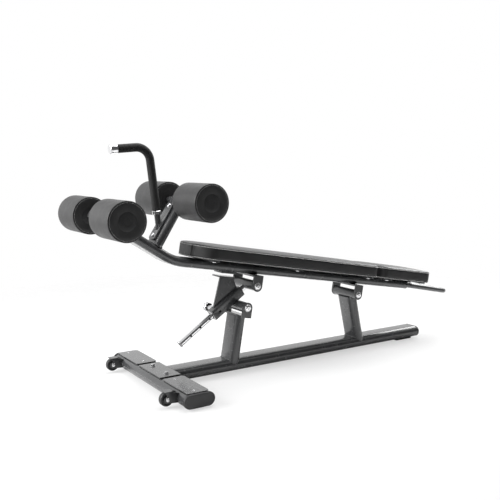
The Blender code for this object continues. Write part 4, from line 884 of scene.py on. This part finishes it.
SIDE = Vector((0, 1, 0))
tangent = BEND_RADIUS * math.tan(INCLINE / 2)
path = [(TUBE_REAR, 0, TUBE_DROP)]
for i in range(25):
    a = INCLINE * i / 24
    path.append((BEND_CORNER + tangent - BEND_RADIUS * math.sin(a), 0,
                 TUBE_DROP + BEND_RADIUS * (1 - math.cos(a))))
path.append((BEND_CORNER - TUBE_FRONT * math.cos(INCLINE), 0,
             TUBE_DROP + TUBE_FRONT * math.sin(INCLINE)))
frame_tube = sweep("frame_tube", flat_oval(TUBE_WIDTH, TUBE_HEIGHT, 20), path, SIDE)
fit(soften(frame_tube, 0.0008), ANTHRACITE, "bench", ["bench_tube"], tilt)

incline = tilt @ at(BEND_CORNER, 0, TUBE_DROP) @ Matrix.Rotation(INCLINE, 4, "Y")
for name, place in (("rear", tilt @ at(TUBE_REAR, 0, TUBE_DROP) @ ALONG),
                    ("front", incline @ at(-TUBE_FRONT, 0, 0)
                     @ Matrix.Rotation(math.pi, 4, "Z") @ ALONG)):
    plug = end_cap(f"frame_plug_{name}", TUBE_WIDTH - 2 * PLUG_INSET,
                   TUBE_HEIGHT - 2 * PLUG_INSET, 0.0022, 0.0012)
    fit(plug, BLACK_PLASTIC, "bench", place=place)


# Lift handle: a bent round tube welded into the rear end of the frame tube, to raise that
# end of the bench and roll it away on its wheels.

LIFT_RADIUS = 0.0125
LIFT_BEND = 0.030
LIFT_LEG = 0.0315
LIFT_REACH = 0.2939
LIFT_DROOP = math.radians(2)
LIFT_STRAIGHT = 0.12
LIFT_WELD = 0.0018

lift = tilt @ at(TUBE_REAR, 0, TUBE_DROP) @ Matrix.Rotation(LIFT_DROOP, 4, "Y")
path = [(-0.004, LIFT_LEG, 0), (LIFT_STRAIGHT, LIFT_LEG, 0)]
for middle_y, start in ((LIFT_LEG - LIFT_BEND, 90), (LIFT_BEND - LIFT_LEG, 0)):
    for i in range(15):
        a = math.radians(start - 90 * i / 14)
        path.append((LIFT_REACH - LIFT_BEND + LIFT_BEND * math.cos(a),
                     middle_y + LIFT_BEND * math.sin(a), 0))
path += [(LIFT_STRAIGHT, -LIFT_LEG, 0), (-0.004, -LIFT_LEG, 0)]
handle = sweep("lift_handle_tube", circle(LIFT_RADIUS), path, Vector((0, 0, 1)))
handle.data.transform(lift)
fit(handle, ANTHRACITE, "bench", ["lift_handle"])
for side, sign in SIDES.items():
    around = [(0.0015, sign * LIFT_LEG + y, z) for y, z in circle(LIFT_RADIUS + 0.0006, 40)]
    weld(f"lift_weld_{side}", around, LIFT_WELD, "bench", lift)


# Pads: leather-look covers drawn over foam on plywood boards, with a sewn boxing band and
# two rows of light stitching. Steel brackets on the frame tube carry them, held by bolts.

PAD_LOW = 0.0886
PAD_THICKNESS = 0.055
PAD_WIDTH = 0.260
PAD_CROWN = 0.0030
PAD_EDGE = 0.0085
PAD_CORNER = 0.028
NOSE_WIDTH = 0.100
NOSE_LENGTH = 0.075
# Where each pad starts and ends along the frame, measured from the tilt hinge.
MAIN_PAD = (-0.8667, 0.0625)
HEAD_PAD = (0.0880, 0.4040)
LOWER_SEAM = 0.0070
UPPER_SEAM = 0.0100
BRACKET_SEAT = 0.0833
BRACKET_WIDTH = 0.040
BRACKET_LENGTH = 0.240
BRACKET_THICKNESS = 0.005
BRACKET_BOLTS = 0.100
BRACKET_BOLT_HEAD = (0.0075, 0.0042, 0.0028, 0.0022)
# Where each bracket stands along the frame, measured from the tilt hinge.
BRACKETS = {"main_pad_bracket_front": -0.7860, "main_pad_bracket_middle": -0.3790,
            "main_pad_bracket_rear": 0.0260, "head_pad_bracket_front": 0.1430,
            "head_pad_bracket_rear": 0.3640}
TONGUE_WIDTH = 0.060
TONGUE_THICKNESS = 0.006
LINING_INSET = 0.016
LINING_THICKNESS = 0.0010
STITCH_PITCH = 0.0062
STITCH_LENGTH = 0.0046
STITCH_RADIUS = 0.00088
FOAM_PRESSURE = 4.0
FILL_FRAMES = 20
FILL_TRAVEL = 0.0020
COVER_BAY = 0.012
CROWN_RISE = 0.060
# The filling leaves the cover where it is below this height, and at these rows of its section.
STAPLED_BELOW = 0.003
HELD_ROWS = {*range(9), *range(12, 17)}


def corner_width(distance, radius):
    """How far a rounded corner stands in, this far from its end."""
    near = min(max(distance, 0), radius)
    return radius - math.sqrt(radius ** 2 - (radius - near) ** 2)


def head_width(x, length):
    """Half the head pad's width."""
    return PAD_WIDTH / 2 - corner_width(min(x, length - x), PAD_CORNER)


def main_width(x, length):
    """Half the main pad's width, flaring from its narrow nose."""
    if x < NOSE_LENGTH:
        flare = math.sin(math.pi / 2 * max(x, 0) / NOSE_LENGTH)
        return NOSE_WIDTH / 2 + (PAD_WIDTH - NOSE_WIDTH) / 2 * flare
    return PAD_WIDTH / 2 - corner_width(length - x, PAD_CORNER)


def side_profile():
    """The cover's section as (inset from the side, height), from under to the top."""
    low, high = LOWER_SEAM, PAD_THICKNESS - UPPER_SEAM
    section = [(0.0500, 0.0), (0.0200, 0.0), (0.0080, 0.0004), (0.0030, 0.0016),
               (0.0009, 0.0036), (0.0004, low - 0.0016), (0.0014, low - 0.0002),
               (0.0014, low + 0.0002), (0.0002, low + 0.0016), (0.0, low + 0.006),
               (0.0004, (low + high) / 2), (0.0, high - 0.006), (0.0002, high - 0.0016),
               (0.0014, high - 0.0002), (0.0014, high + 0.0002), (0.0002, high + 0.0014)]
    for degrees in range(0, 91, 15):
        a = math.radians(degrees)
        section.append((PAD_EDGE * (1 - math.cos(a)),
                        PAD_THICKNESS - PAD_EDGE * 0.9 + PAD_EDGE * 0.9 * math.sin(a)))
    return section


def spot(point):
    """A point in whole hundredths of a millimetre, by which the mesh's own is found again."""
    return tuple(round(value * 1e5) for value in point)


def fill(cover, held):
    """Lets the foam push the cover out between its seams: a short cloth simulation under air
    pressure, with the stapled underside and the sewn rows held where they are."""
    before = [vertex.co.copy() for vertex in cover.data.vertices]
    sewn = cover.vertex_groups.new(name="sewn")
    sewn.add([i for i, point in enumerate(before)
              if spot(point) in held or point.z < STAPLED_BELOW], 1.0, "REPLACE")
    cloth = cover.modifiers.new("filling", "CLOTH")
    cloth.settings.vertex_group_mass = "sewn"
    cloth.settings.quality = 5
    cloth.settings.use_pressure = True
    cloth.settings.uniform_pressure_force = FOAM_PRESSURE
    cloth.settings.tension_stiffness = cloth.settings.compression_stiffness = 15.0
    cloth.settings.bending_stiffness = 1.0
    cloth.settings.effector_weights.gravity = 0
    cloth.point_cache.frame_start, cloth.point_cache.frame_end = 1, FILL_FRAMES
    for moment in range(1, FILL_FRAMES + 1):
        bpy.context.scene.frame_set(moment)
    swollen = cover.evaluated_get(bpy.context.evaluated_depsgraph_get()).data.vertices
    moved = [vertex.co.copy() for vertex in swollen]
    cover.modifiers.clear()
    cover.vertex_groups.clear()
    bpy.context.scene.frame_set(1)
    for vertex, old, new in zip(cover.data.vertices, before, moved):
        step = new - old
        vertex.co = old + step * FILL_TRAVEL / (FILL_TRAVEL + step.length)


def upholstered(name, length, half_width):
    """A padded cover with a crown, drawn in at its seams and rounded at its ends."""
    section = side_profile()
    edge = [PAD_EDGE * (1 - math.cos(math.radians(a))) for a in (0, 12, 25, 38, 52, 66, 80)]
    reach = edge + [0.0100, 0.0125, 0.0160, 0.0200, 0.0240, 0.0280, 0.0340, 0.0420, 0.0520,
                    0.0640, 0.0760, 0.0900]
    straight = length - 2 * reach[-1]
    bays = round(straight / COVER_BAY)
    spread = [reach[-1] + straight * i / bays for i in range(1, bays)]
    stations = reach + spread + [length - x for x in reversed(reach)]
    rings, held = [], set()
    for x in stations:
        near = min(x, length - x)
        turned_in = corner_width(near, PAD_EDGE)
        wide = half_width(x, length)
        rise = min(1.0, near / CROWN_RISE)
        rise = rise * rise * (3 - 2 * rise)
        right = []
        for inset, level in section:
            above = level / (PAD_THICKNESS / 2) - 1
            drop = turned_in * above if above > 0 else turned_in * 0.35 * above
            right.append((wide - inset - turned_in * 0.55, level - drop))
        top_y, top_z = right[-1]
        for share in (0.93, 0.82, 0.68, 0.52, 0.35, 0.18):
            crown = PAD_CROWN * (1 - share ** 2.2) * rise
            right.append((top_y * share, top_z + crown))
        centre_top = (0.0, top_z + PAD_CROWN * rise)
        centre_low = (0.0, right[0][1])
        ring = [centre_low] + right + [centre_top] + [(-y, z) for y, z in reversed(right)]
        rings.append([(x, y, z) for y, z in ring])
        held |= {spot((x, side * y, z)) for i, (y, z) in enumerate(right) for side in (1, -1)
                 if i in HELD_ROWS}
    cover = skin(name, rings, crease=80)
    fill(cover, held)
    smooth = cover.modifiers.new("smooth cover", "SUBSURF")
    smooth.levels = smooth.render_levels = 1
    return cover


def stitches(name, rows):
    """Thread stitches as one piece. Each is a row of (middle, radius, sideways) along it."""
    up = Vector((0, 0, 1))
    shape = bmesh.new()
    for row in rows:
        rings = [[shape.verts.new(middle + radius * (out * math.cos(t) + up * math.sin(t)))
                  for t in (math.pi * k / 3 for k in range(6))] for middle, radius, out in row]
        for first, second in zip(rings, rings[1:]):
            for k in range(6):
                shape.faces.new((first[k], first[(k + 1) % 6], second[(k + 1) % 6], second[k]))
    mesh = bpy.data.meshes.new(name)
    bmesh.ops.recalc_face_normals(shape, faces=shape.faces)
    shape.to_mesh(mesh)
    shape.free()
    mesh.shade_smooth()
    return into_scene(name, mesh)


def pad_stitches(name, length, half_width, level):
    """A row of stitches along both sides of a cover and round its ends."""
    line = [Vector((x, half_width(x, length) + 0.0001, level))
            for x in (length * (i / 900) for i in range(901))]
    loop = line + [Vector((p.x, -p.y, p.z)) for p in reversed(line)] + [line[0]]
    distance, travelled = 0.0, []
    for a, b in zip(loop, loop[1:]):
        travelled.append((distance, a, b))
        distance += (b - a).length
    rows, place, index = [], 0.0, 0
    while place < distance - STITCH_LENGTH:
        ends = []
        for want in (place, place + STITCH_LENGTH):
            while index + 1 < len(travelled) and travelled[index + 1][0] <= want:
                index += 1
            start, a, b = travelled[index]
            ends.append(a.lerp(b, min((want - start) / (b - a).length, 1)))
        out = (ends[1] - ends[0]).normalized().cross(Vector((0, 0, 1))).normalized()
        rows.append([(ends[0].lerp(ends[1], share) - out * sunk, STITCH_RADIUS * size, out)
                     for share, size, sunk in ((0.0, 0.35, 0.0005), (0.2, 1.0, 0.0002),
                                               (0.8, 1.0, 0.0002), (1.0, 0.35, 0.0005))])
        place += STITCH_PITCH
    return stitches(name, rows)


def leather(name, colour, roughness):
    """Grained artificial leather: pebbled cells, fine pores, and gentle wear in its gloss."""
    finish = new_finish(name, colour, roughness)
    drift = grain(finish, "ShaderNodeTexNoise", 9.0, Detail=4.0)
    tint(finish, drift.outputs["Fac"], [c * 0.8 for c in colour], [c * 1.25 for c in colour])
    rub = grain(finish, "ShaderNodeTexNoise", 35.0, Detail=4.0)
    polish(finish, rub.outputs["Fac"], roughness - 0.07, roughness + 0.07)
    pebbles = grain(finish, "ShaderNodeTexVoronoi", 620.0)
    relief(finish, pebbles.outputs["Distance"], 0.00022, 0.55)
    soft = grain(finish, "ShaderNodeTexNoise", 26.0, Detail=2.0)
    relief(finish, soft.outputs["Fac"], 0.0014, 0.30)
    return finish


LEATHER = leather("black_leather", (0.0150, 0.0150, 0.0155), 0.40)
THREAD = new_finish("pale_thread", (0.84, 0.84, 0.83), 0.6)
twist = grain(THREAD, "ShaderNodeTexWave", 900.0)
relief(THREAD, twist.outputs["Fac"], 0.0001, 0.4)
LINING = moulded_black("under_lining", (0.016, 0.016, 0.016), 0.85, 900.0)

for name, (start, end), width in (("main_pad", MAIN_PAD, main_width),
                                  ("head_pad", HEAD_PAD, head_width)):
    length = end - start
    place = tilt @ at(start, 0, PAD_LOW)
    cover = upholstered(f"{name}_cover", length, width)
    fit(cover, LEATHER, "bench", [name, f"{name}_board"], place)
    for row, level in (("upper", PAD_THICKNESS - UPPER_SEAM + 0.0026),
                       ("lower", LOWER_SEAM - 0.0026)):
        thread = pad_stitches(f"{name}_stitches_{row}", length, width, level)
        fit(thread, THREAD, "bench", place=place)
    outline = [(x, width(x, length) - LINING_INSET) for x in
               (LINING_INSET + (length - 2 * LINING_INSET) * i / 60 for i in range(61))]
    outline += [(x, -y) for x, y in reversed(outline)]
    lining = bar(f"{name}_lining", outline, LINING_THICKNESS)
    fit(lining, LINING, "bench", place=place @ at(0, 0, -0.0003))

for name, x in BRACKETS.items():
    plate = bar(f"{name}_plate",
                rounded_rectangle(BRACKET_WIDTH, BRACKET_LENGTH, 0.012, 6), BRACKET_THICKNESS)
    seat = tilt @ at(x, 0, BRACKET_SEAT + BRACKET_THICKNESS / 2)
    fit(soften(plate, 0.0007, 2), ANTHRACITE, "bench", [name], seat)
    for side, y in (("left", BRACKET_BOLTS), ("right", -BRACKET_BOLTS)):
        fit(socket_head(f"{name}_bolt_{side}", *BRACKET_BOLT_HEAD), ZINC, "bench",
            place=seat @ at(0, y, -BRACKET_THICKNESS / 2) @ FLIP)

tongue_end = BRACKETS["head_pad_bracket_rear"] + 0.018
tongue = bar("head_pad_tongue",
             rounded_rectangle(tongue_end - TUBE_REAR, TONGUE_WIDTH, 0.004, 4),
             TONGUE_THICKNESS)
fit(soften(tongue, 0.0007, 2), ANTHRACITE, "bench",
    place=tilt @ at((TUBE_REAR + tongue_end) / 2, 0, BRACKET_SEAT - 0.0032))
web = bar("head_pad_web",
          [(0, 0), (0.034, 0), (0.034, -0.003), (0.004, -0.030), (0, -0.030)], 0.005)
fit(soften(web, 0.0005, 2), ANTHRACITE, "bench",
    place=tilt @ at(TUBE_REAR, 0, BRACKET_SEAT - 0.0062) @ ACROSS)


# Roller mast: a flat-oval post welded on the incline, which carries the upper axle. Both
# axles are steel bars that run through the frame and hold a roller at each side.

MAST_PLACE = -0.0895
MAST_WIDTH = 0.090
MAST_DEPTH = 0.035
MAST_TOP = 0.244
MAST_WELD = 0.0022
LOWER_AXLE = 0.3325
UPPER_AXLE = 0.217
AXLE_RADIUS = 0.0125

mast_low = TUBE_HEIGHT / 2 - 0.003
mast_middle = (MAST_TOP + mast_low) / 2
mast = bar("mast_tube", [(y, x) for x, y in flat_oval(MAST_WIDTH, MAST_DEPTH, 20)],
           MAST_TOP - mast_low)
axle_hole = rod("mast_axle_hole", AXLE_RADIUS + 0.0003, 0.2, 40)
axle_hole.matrix_world = at(0, 0, UPPER_AXLE - mast_middle) @ ACROSS
mast = holed(mast, axle_hole)
fit(soften(mast, 0.0016), ANTHRACITE, "bench", ["roller_mast"],
    incline @ at(MAST_PLACE, 0, mast_middle))
foot = [(MAST_PLACE + y, x * 0.98, TUBE_HEIGHT / 2 + 0.0008)
        for x, y in flat_oval(MAST_WIDTH + 0.002, MAST_DEPTH + 0.002, 40)]
weld("mast_weld", foot, MAST_WELD, "bench", incline)

for name, x, z in (("lower_axle", -LOWER_AXLE, 0), ("upper_axle", MAST_PLACE, UPPER_AXLE)):
    axle = rod(f"{name}_bar", AXLE_RADIUS, measure(name)[1].y, 40)
    fit(soften(axle, 0.001), ANTHRACITE, "bench", [name],
        incline @ at(x, 0, z) @ ACROSS)


# Rollers: foam sleeves in a smooth leather-look skin, gathered by a stitched seam near each
# end, with a black plastic plug sunk in the middle of each end. They turn on the axles.

ROLLER_RADIUS = 0.0702
ROLLER_HALF = 0.0882
ROLLER_SEAM = 0.0660
ROLLER_ROUND = 0.0022
ROLLER_STITCHES = 96
ROLLER_STITCH_RADIUS = 0.00042
PLUG_RADIUS = 0.033


def roller_profile():
    """The roller's section from the plug over the skin to the other plug."""
    half = ROLLER_HALF
    face = [(PLUG_RADIUS, half - 0.0060), (PLUG_RADIUS + 0.0001, half - 0.0008),
            (PLUG_RADIUS + 0.0030, half - 0.0003), (PLUG_RADIUS + 0.0120, half + 0.0008),
            (ROLLER_SEAM - 0.0120, half + 0.0010), (ROLLER_SEAM - 0.0030, half + 0.0001),
            (ROLLER_SEAM - 0.0006, half - 0.0009), (ROLLER_SEAM, half - 0.0015),
            (ROLLER_SEAM + 0.0008, half - 0.0010), (ROLLER_SEAM + 0.0018, half - 0.0008)]
    for degrees in (75, 50, 25, 5):
        a = math.radians(degrees)
        face.append((ROLLER_RADIUS - ROLLER_ROUND + ROLLER_ROUND * math.cos(a),
                     half - ROLLER_ROUND - 0.0009 + ROLLER_ROUND * math.sin(a)))
    barrel = [(ROLLER_RADIUS, half - 0.014), (ROLLER_RADIUS + 0.0002, half - 0.030),
              (ROLLER_RADIUS, half - 0.050), (ROLLER_RADIUS - 0.0001, half - 0.068)]
    return mirrored(face + barrel, [(ROLLER_RADIUS, 0.0)])


def seam_stitches(name):
    """A ring of stitches on a roller's end."""
    rows = []
    for i in range(ROLLER_STITCHES):
        row = []
        for share, size in ((0.0, 0.4), (0.25, 1.0), (0.75, 1.0), (1.0, 0.4)):
            a = 2 * math.pi * (i + share * 0.62) / ROLLER_STITCHES
            out = Vector((math.cos(a), math.sin(a), 0))
            middle = out * (ROLLER_SEAM - 0.0022) + Vector((0, 0, ROLLER_HALF - 0.0001))
            row.append((middle, ROLLER_STITCH_RADIUS * size, out))
        rows.append(row)
    return stitches(name, rows)


GREY_THREAD = new_finish("grey_thread", (0.50, 0.50, 0.50), 0.6)
ROLLER_SKIN = leather("roller_skin", (0.025, 0.025, 0.0255), 0.52)

half = ROLLER_HALF
plug_section = [
    (0, half - 0.0012), (0.0128, half - 0.0012), (0.0131, half - 0.0008),
    (0.0150, half - 0.0007), (0.0320, half - 0.0006), (PLUG_RADIUS - 0.0001, half - 0.0010),
    (PLUG_RADIUS - 0.0001, half - 0.010), (0, half - 0.010)]
for height in ("lower", "upper"):
    for side in SIDES:
        name = f"{height}_roller_{side}"
        place = at(*measure(name)[0]) @ ACROSS
        roller = turned(f"{name}_skin", roller_profile(), 80, crease=75)
        fit(roller, ROLLER_SKIN, name, [name], place)
        for end, face in (("in", place), ("out", place @ FLIP)):
            fit(turned(f"{name}_plug_{end}", plug_section, 56), BLACK_PLASTIC, name,
                place=face)
            fit(seam_stitches(f"{name}_seam_{end}"), GREY_THREAD, name,
                place=face)


# Grab handle: a bent round tube on a plate bolted to the mast's front. It has a foam grip, a
# chromed collar under the grip and a chromed cap on its end.

HANDLE_FACE = -0.1153
HANDLE_LEAN = math.radians(39.4)
HANDLE_BEND = math.radians(87.8)
HANDLE_RADIUS = 0.053
HANDLE_FOOT = 0.0926
BEND_START = 0.2455
BEND_END = BEND_START + HANDLE_RADIUS * HANDLE_BEND
HANDLE_TUBE = 0.011
GRIP_START = 0.0553
GRIP_END = 0.4011
GRIP_RADIUS = 0.0158
HANDLE_END = 0.4294
COLLAR_RADIUS = 0.0175
COLLAR_START = 0.0415
END_CAP_RADIUS = 0.0180
PLATE_LENGTH = 0.161
PLATE_WIDTH = 0.050
PLATE_THICKNESS = 0.008
PLATE_MIDDLE = 0.1125
SLOT_LENGTH = 0.020
SLOT_WIDTH = 0.008
SLOT_DROP = 0.0305
PLATE_BOLTS = (0.049, 0.178)
PLATE_BOLT_HEAD = (0.0085, 0.0045, 0.0034, 0.0024)
HANDLE_WELD = 0.0018


def handle_point(along):
    """A point on the handle's middle line, in the incline's own directions."""
    lean = Vector((-math.sin(HANDLE_LEAN), 0, math.cos(HANDLE_LEAN)))
    front = Vector((-math.cos(HANDLE_LEAN), 0, -math.sin(HANDLE_LEAN)))
    turn = min(max(along - BEND_START, 0), BEND_END - BEND_START) / HANDLE_RADIUS
    rest = max(along - BEND_END, 0)
    ahead = HANDLE_RADIUS * (1 - math.cos(turn)) + rest * math.sin(HANDLE_BEND)
    up = min(along, BEND_START) + HANDLE_RADIUS * math.sin(turn) + rest * math.cos(HANDLE_BEND)
    return Vector((HANDLE_FACE, 0, HANDLE_FOOT)) + lean * up + front * ahead


def along_handle(name, profile):
    """A turned piece bent along the handle, from (radius, distance along it) points. Its mesh
    is drawn where it stays, so that its box is a true one."""
    rings = []
    for radius, along in profile:
        ahead = handle_point(along + 0.0005) - handle_point(along - 0.0005)
        up = ahead.normalized().cross(SIDE)
        rings.append([handle_point(along) + SIDE * x + up * z for x, z in circle(radius, 40)])
    piece = skin(name, rings, crease=40)
    piece.data.transform(incline)
    return piece


def foam(name, colour, roughness):
    """Closed-cell foam with fine pores."""
    finish = new_finish(name, colour, roughness)
    cloud = grain(finish, "ShaderNodeTexNoise", 24.0, Detail=4.0)
    tint(finish, cloud.outputs["Fac"], [c * 0.8 for c in colour], [c * 1.2 for c in colour])
    pores = grain(finish, "ShaderNodeTexVoronoi", 1100.0)
    relief(finish, pores.outputs["Distance"], 0.0003, 0.6)
    return finish


FOAM = foam("foam_grip", (0.0105, 0.0105, 0.0105), 0.78)

plate = bar("handle_plate_cut", rounded_rectangle(PLATE_LENGTH, PLATE_WIDTH, 0.012, 6),
            PLATE_THICKNESS)
slot = bar("handle_plate_slot", rounded_rectangle(SLOT_LENGTH, SLOT_WIDTH, 0.0039, 6), 0.02)
slot.matrix_world = at(SLOT_DROP, 0, 0)
plate = holed(plate, slot)
fit(soften(plate, 0.0008, 2), ANTHRACITE, "bench", ["handle_plate"],
    incline @ at(HANDLE_FACE + PLATE_THICKNESS / 2, 0, PLATE_MIDDLE) @ REARWARD)
for number, height in enumerate(PLATE_BOLTS, 1):
    bolt = socket_head(f"handle_plate_bolt_{number}", *PLATE_BOLT_HEAD, steps=40)
    fit(bolt, CHROME, "bench",
        place=incline @ at(HANDLE_FACE, 0, height) @ Matrix.Rotation(-math.pi / 2, 4, "Y"))

steps = [0.005 + (HANDLE_END - 0.010) * i / 60 for i in range(61)]
tube = along_handle("handle_bar", [(HANDLE_TUBE, s) for s in [-0.006] + steps])
fit(tube, ANTHRACITE, "bench", ["handle_tube"])
around = [(HANDLE_FACE - 0.0008, y, HANDLE_FOOT + z / math.sin(HANDLE_LEAN))
          for y, z in circle(HANDLE_TUBE + 0.0008, 44)]
weld("handle_weld", around, HANDLE_WELD, "bench", incline)

section = [(HANDLE_TUBE, GRIP_START), (GRIP_RADIUS - 0.0015, GRIP_START),
           (GRIP_RADIUS, GRIP_START + 0.0015)]
section += [(GRIP_RADIUS, GRIP_START + 0.006 + (GRIP_END - GRIP_START - 0.012) * i / 60)
            for i in range(61)]
section += [(GRIP_RADIUS, GRIP_END - 0.0015), (GRIP_RADIUS - 0.0015, GRIP_END),
            (HANDLE_TUBE, GRIP_END)]
grip = along_handle("foam_grip_sleeve", section)
fit(grip, FOAM, "bench", ["handle_grip"])

collar_end = GRIP_START - 0.0003
collar = along_handle("grip_collar", [
    (HANDLE_TUBE, COLLAR_START), (COLLAR_RADIUS - 0.0012, COLLAR_START),
    (COLLAR_RADIUS, COLLAR_START + 0.0012), (COLLAR_RADIUS, collar_end - 0.0012),
    (COLLAR_RADIUS - 0.0012, collar_end), (HANDLE_TUBE, collar_end)])
fit(collar, CHROME, "bench", ["handle_collar"])
cap = along_handle("grip_end_cap", [
    (HANDLE_TUBE, HANDLE_END - 0.028), (END_CAP_RADIUS - 0.0012, HANDLE_END - 0.028),
    (END_CAP_RADIUS, HANDLE_END - 0.0266), (END_CAP_RADIUS, HANDLE_END - 0.0040),
    (END_CAP_RADIUS - 0.0006, HANDLE_END - 0.0018),
    (END_CAP_RADIUS - 0.0020, HANDLE_END - 0.0006), (END_CAP_RADIUS - 0.0040, HANDLE_END),
    (0.0, HANDLE_END)])
fit(cap, CHROME, "bench", ["handle_end_cap"])


# Spring of the pop pin: five turns of zinc-plated wire, which push the pin into its hole. The
# barrel hides them, so the spring keeps the shape that it was drawn with.

spring = frame["nodes"]["pop_pin_spring"]
spring.data.materials.clear()
spring.data.materials.append(ZINC)


# Studio: a pale floor that fades into a white surround, soft lamps, and the camera at the
# place that the photograph was taken from.

CAMERA_AT = (-1.758328, -2.3454, 0.8458)
CAMERA_TURN = math.radians(33.06)
CAMERA_DIP = math.radians(7.02)
CAMERA_LENS = 48.867
DARK_SIDE = (0.10, -0.98, -0.18)
ROOM_TONES = ((0.05, 1.0), (0.62, 0.10))
FILL_STRENGTH = 0.42
FLOOR_REACH = 9
FLOOR_GLOW = 0.6
FLOOR_FADE = (1.1, 2.6)


def lamp(name, place, target, size, power):
    """A soft square lamp that looks at a point."""
    light = bpy.data.lights.new(name, "AREA")
    light.size = size
    light.energy = power
    holder = into_scene(name, light)
    holder.location = place
    aim = Vector(target) - Vector(place)
    holder.rotation_euler = aim.to_track_quat("-Z", "Y").to_euler()


def add(tree, kind, **settings):
    """Adds a node to a finish or to the surround."""
    node = tree.nodes.new(kind)
    for setting, value in settings.items():
        setattr(node, setting, value)
    return node


def blend(tree, amount, first, second):
    """Mixes two shaders by an amount, and returns the mix."""
    mix = add(tree, "ShaderNodeMixShader")
    tree.links.new(amount, mix.inputs["Fac"])
    tree.links.new(first, mix.inputs[1])
    tree.links.new(second, mix.inputs[2])
    return mix.outputs["Shader"]


floor = skin("studio_floor", [
    [(x, -FLOOR_REACH, 0), (x, FLOOR_REACH, 0), (x, FLOOR_REACH, -0.01),
     (x, -FLOOR_REACH, -0.01)] for x in (-FLOOR_REACH, FLOOR_REACH)])
floor_paint = new_finish("pale_floor", (0.90, 0.90, 0.90), 0.9)
tree = floor_paint.node_tree
paint = tree.nodes["Principled BSDF"]
paint.inputs["Specular IOR Level"].default_value = 0.0
spread = add(tree, "ShaderNodeTexCoord")
distance = add(tree, "ShaderNodeVectorMath", operation="LENGTH")
tree.links.new(spread.outputs["Object"], distance.inputs[0])
fade = add(tree, "ShaderNodeMapRange")
fade.inputs["From Min"].default_value, fade.inputs["From Max"].default_value = FLOOR_FADE
tree.links.new(distance.outputs["Value"], fade.inputs["Value"])
rays = add(tree, "ShaderNodeLightPath")
whitened = add(tree, "ShaderNodeMath", operation="MULTIPLY")
whitened.inputs[1].default_value = FLOOR_GLOW
tree.links.new(rays.outputs["Is Camera Ray"], whitened.inputs[0])
lit = blend(tree, whitened.outputs["Value"], paint.outputs["BSDF"],
            add(tree, "ShaderNodeEmission").outputs["Emission"])
faded = blend(tree, fade.outputs["Result"], lit,
              add(tree, "ShaderNodeBsdfTransparent").outputs["BSDF"])
tree.links.new(faded, tree.nodes["Material Output"].inputs["Surface"])
floor.data.materials.append(floor_paint)

world = bpy.data.worlds.new("white_surround")
bpy.context.scene.world = world
world.use_nodes = True
tree = world.node_tree
tree.nodes.clear()
rays = add(tree, "ShaderNodeLightPath")
facing = add(tree, "ShaderNodeTexCoord")
toward = add(tree, "ShaderNodeVectorMath", operation="DOT_PRODUCT")
toward.inputs[1].default_value = DARK_SIDE
tree.links.new(facing.outputs["Generated"], toward.inputs[0])
room = add(tree, "ShaderNodeValToRGB")
room.color_ramp.interpolation = "EASE"
for stop, (position, tone) in zip(room.color_ramp.elements, ROOM_TONES):
    stop.position = position
    stop.color = (tone, tone, tone, 1)
tree.links.new(toward.outputs["Value"], room.inputs["Fac"])
shine = add(tree, "ShaderNodeMath", operation="MAXIMUM")
tree.links.new(rays.outputs["Is Glossy Ray"], shine.inputs[0])
tree.links.new(rays.outputs["Is Transmission Ray"], shine.inputs[1])
level = add(tree, "ShaderNodeMapRange")
level.inputs["To Min"].default_value = FILL_STRENGTH
level.inputs["To Max"].default_value = 1.0
tree.links.new(shine.outputs["Value"], level.inputs["Value"])
surround = add(tree, "ShaderNodeBackground")
tree.links.new(room.outputs["Color"], surround.inputs["Color"])
tree.links.new(level.outputs["Result"], surround.inputs["Strength"])
white = add(tree, "ShaderNodeBackground")
white.inputs["Color"].default_value = (1, 1, 1, 1)
seen = blend(tree, rays.outputs["Is Camera Ray"], surround.outputs["Background"],
             white.outputs["Background"])
tree.links.new(seen, add(tree, "ShaderNodeOutputWorld").inputs["Surface"])

lamp("front_softbox", (-3.05, 0.65, 1.5), (-0.1, 0, 0.3), 1.6, 95)
lamp("top_softbox", (0.2, 0.3, 3.0), (0, 0, 0), 2.4, 85)
lamp("rear_softbox", (2.4, 0.6, 1.6), (0.1, 0, 0.3), 1.2, 34)

camera = into_scene("camera", bpy.data.cameras.new("camera"))
camera.data.lens = CAMERA_LENS
camera.data.sensor_width = 36
camera.location = CAMERA_AT
look = Vector((math.sin(CAMERA_TURN) * math.cos(CAMERA_DIP),
               math.cos(CAMERA_TURN) * math.cos(CAMERA_DIP), -math.sin(CAMERA_DIP)))
camera.rotation_euler = look.to_track_quat("-Z", "Y").to_euler()
bpy.context.scene.camera = camera
bpy.context.scene.view_settings.view_transform = "Standard"

bpy.context.view_layer.update()
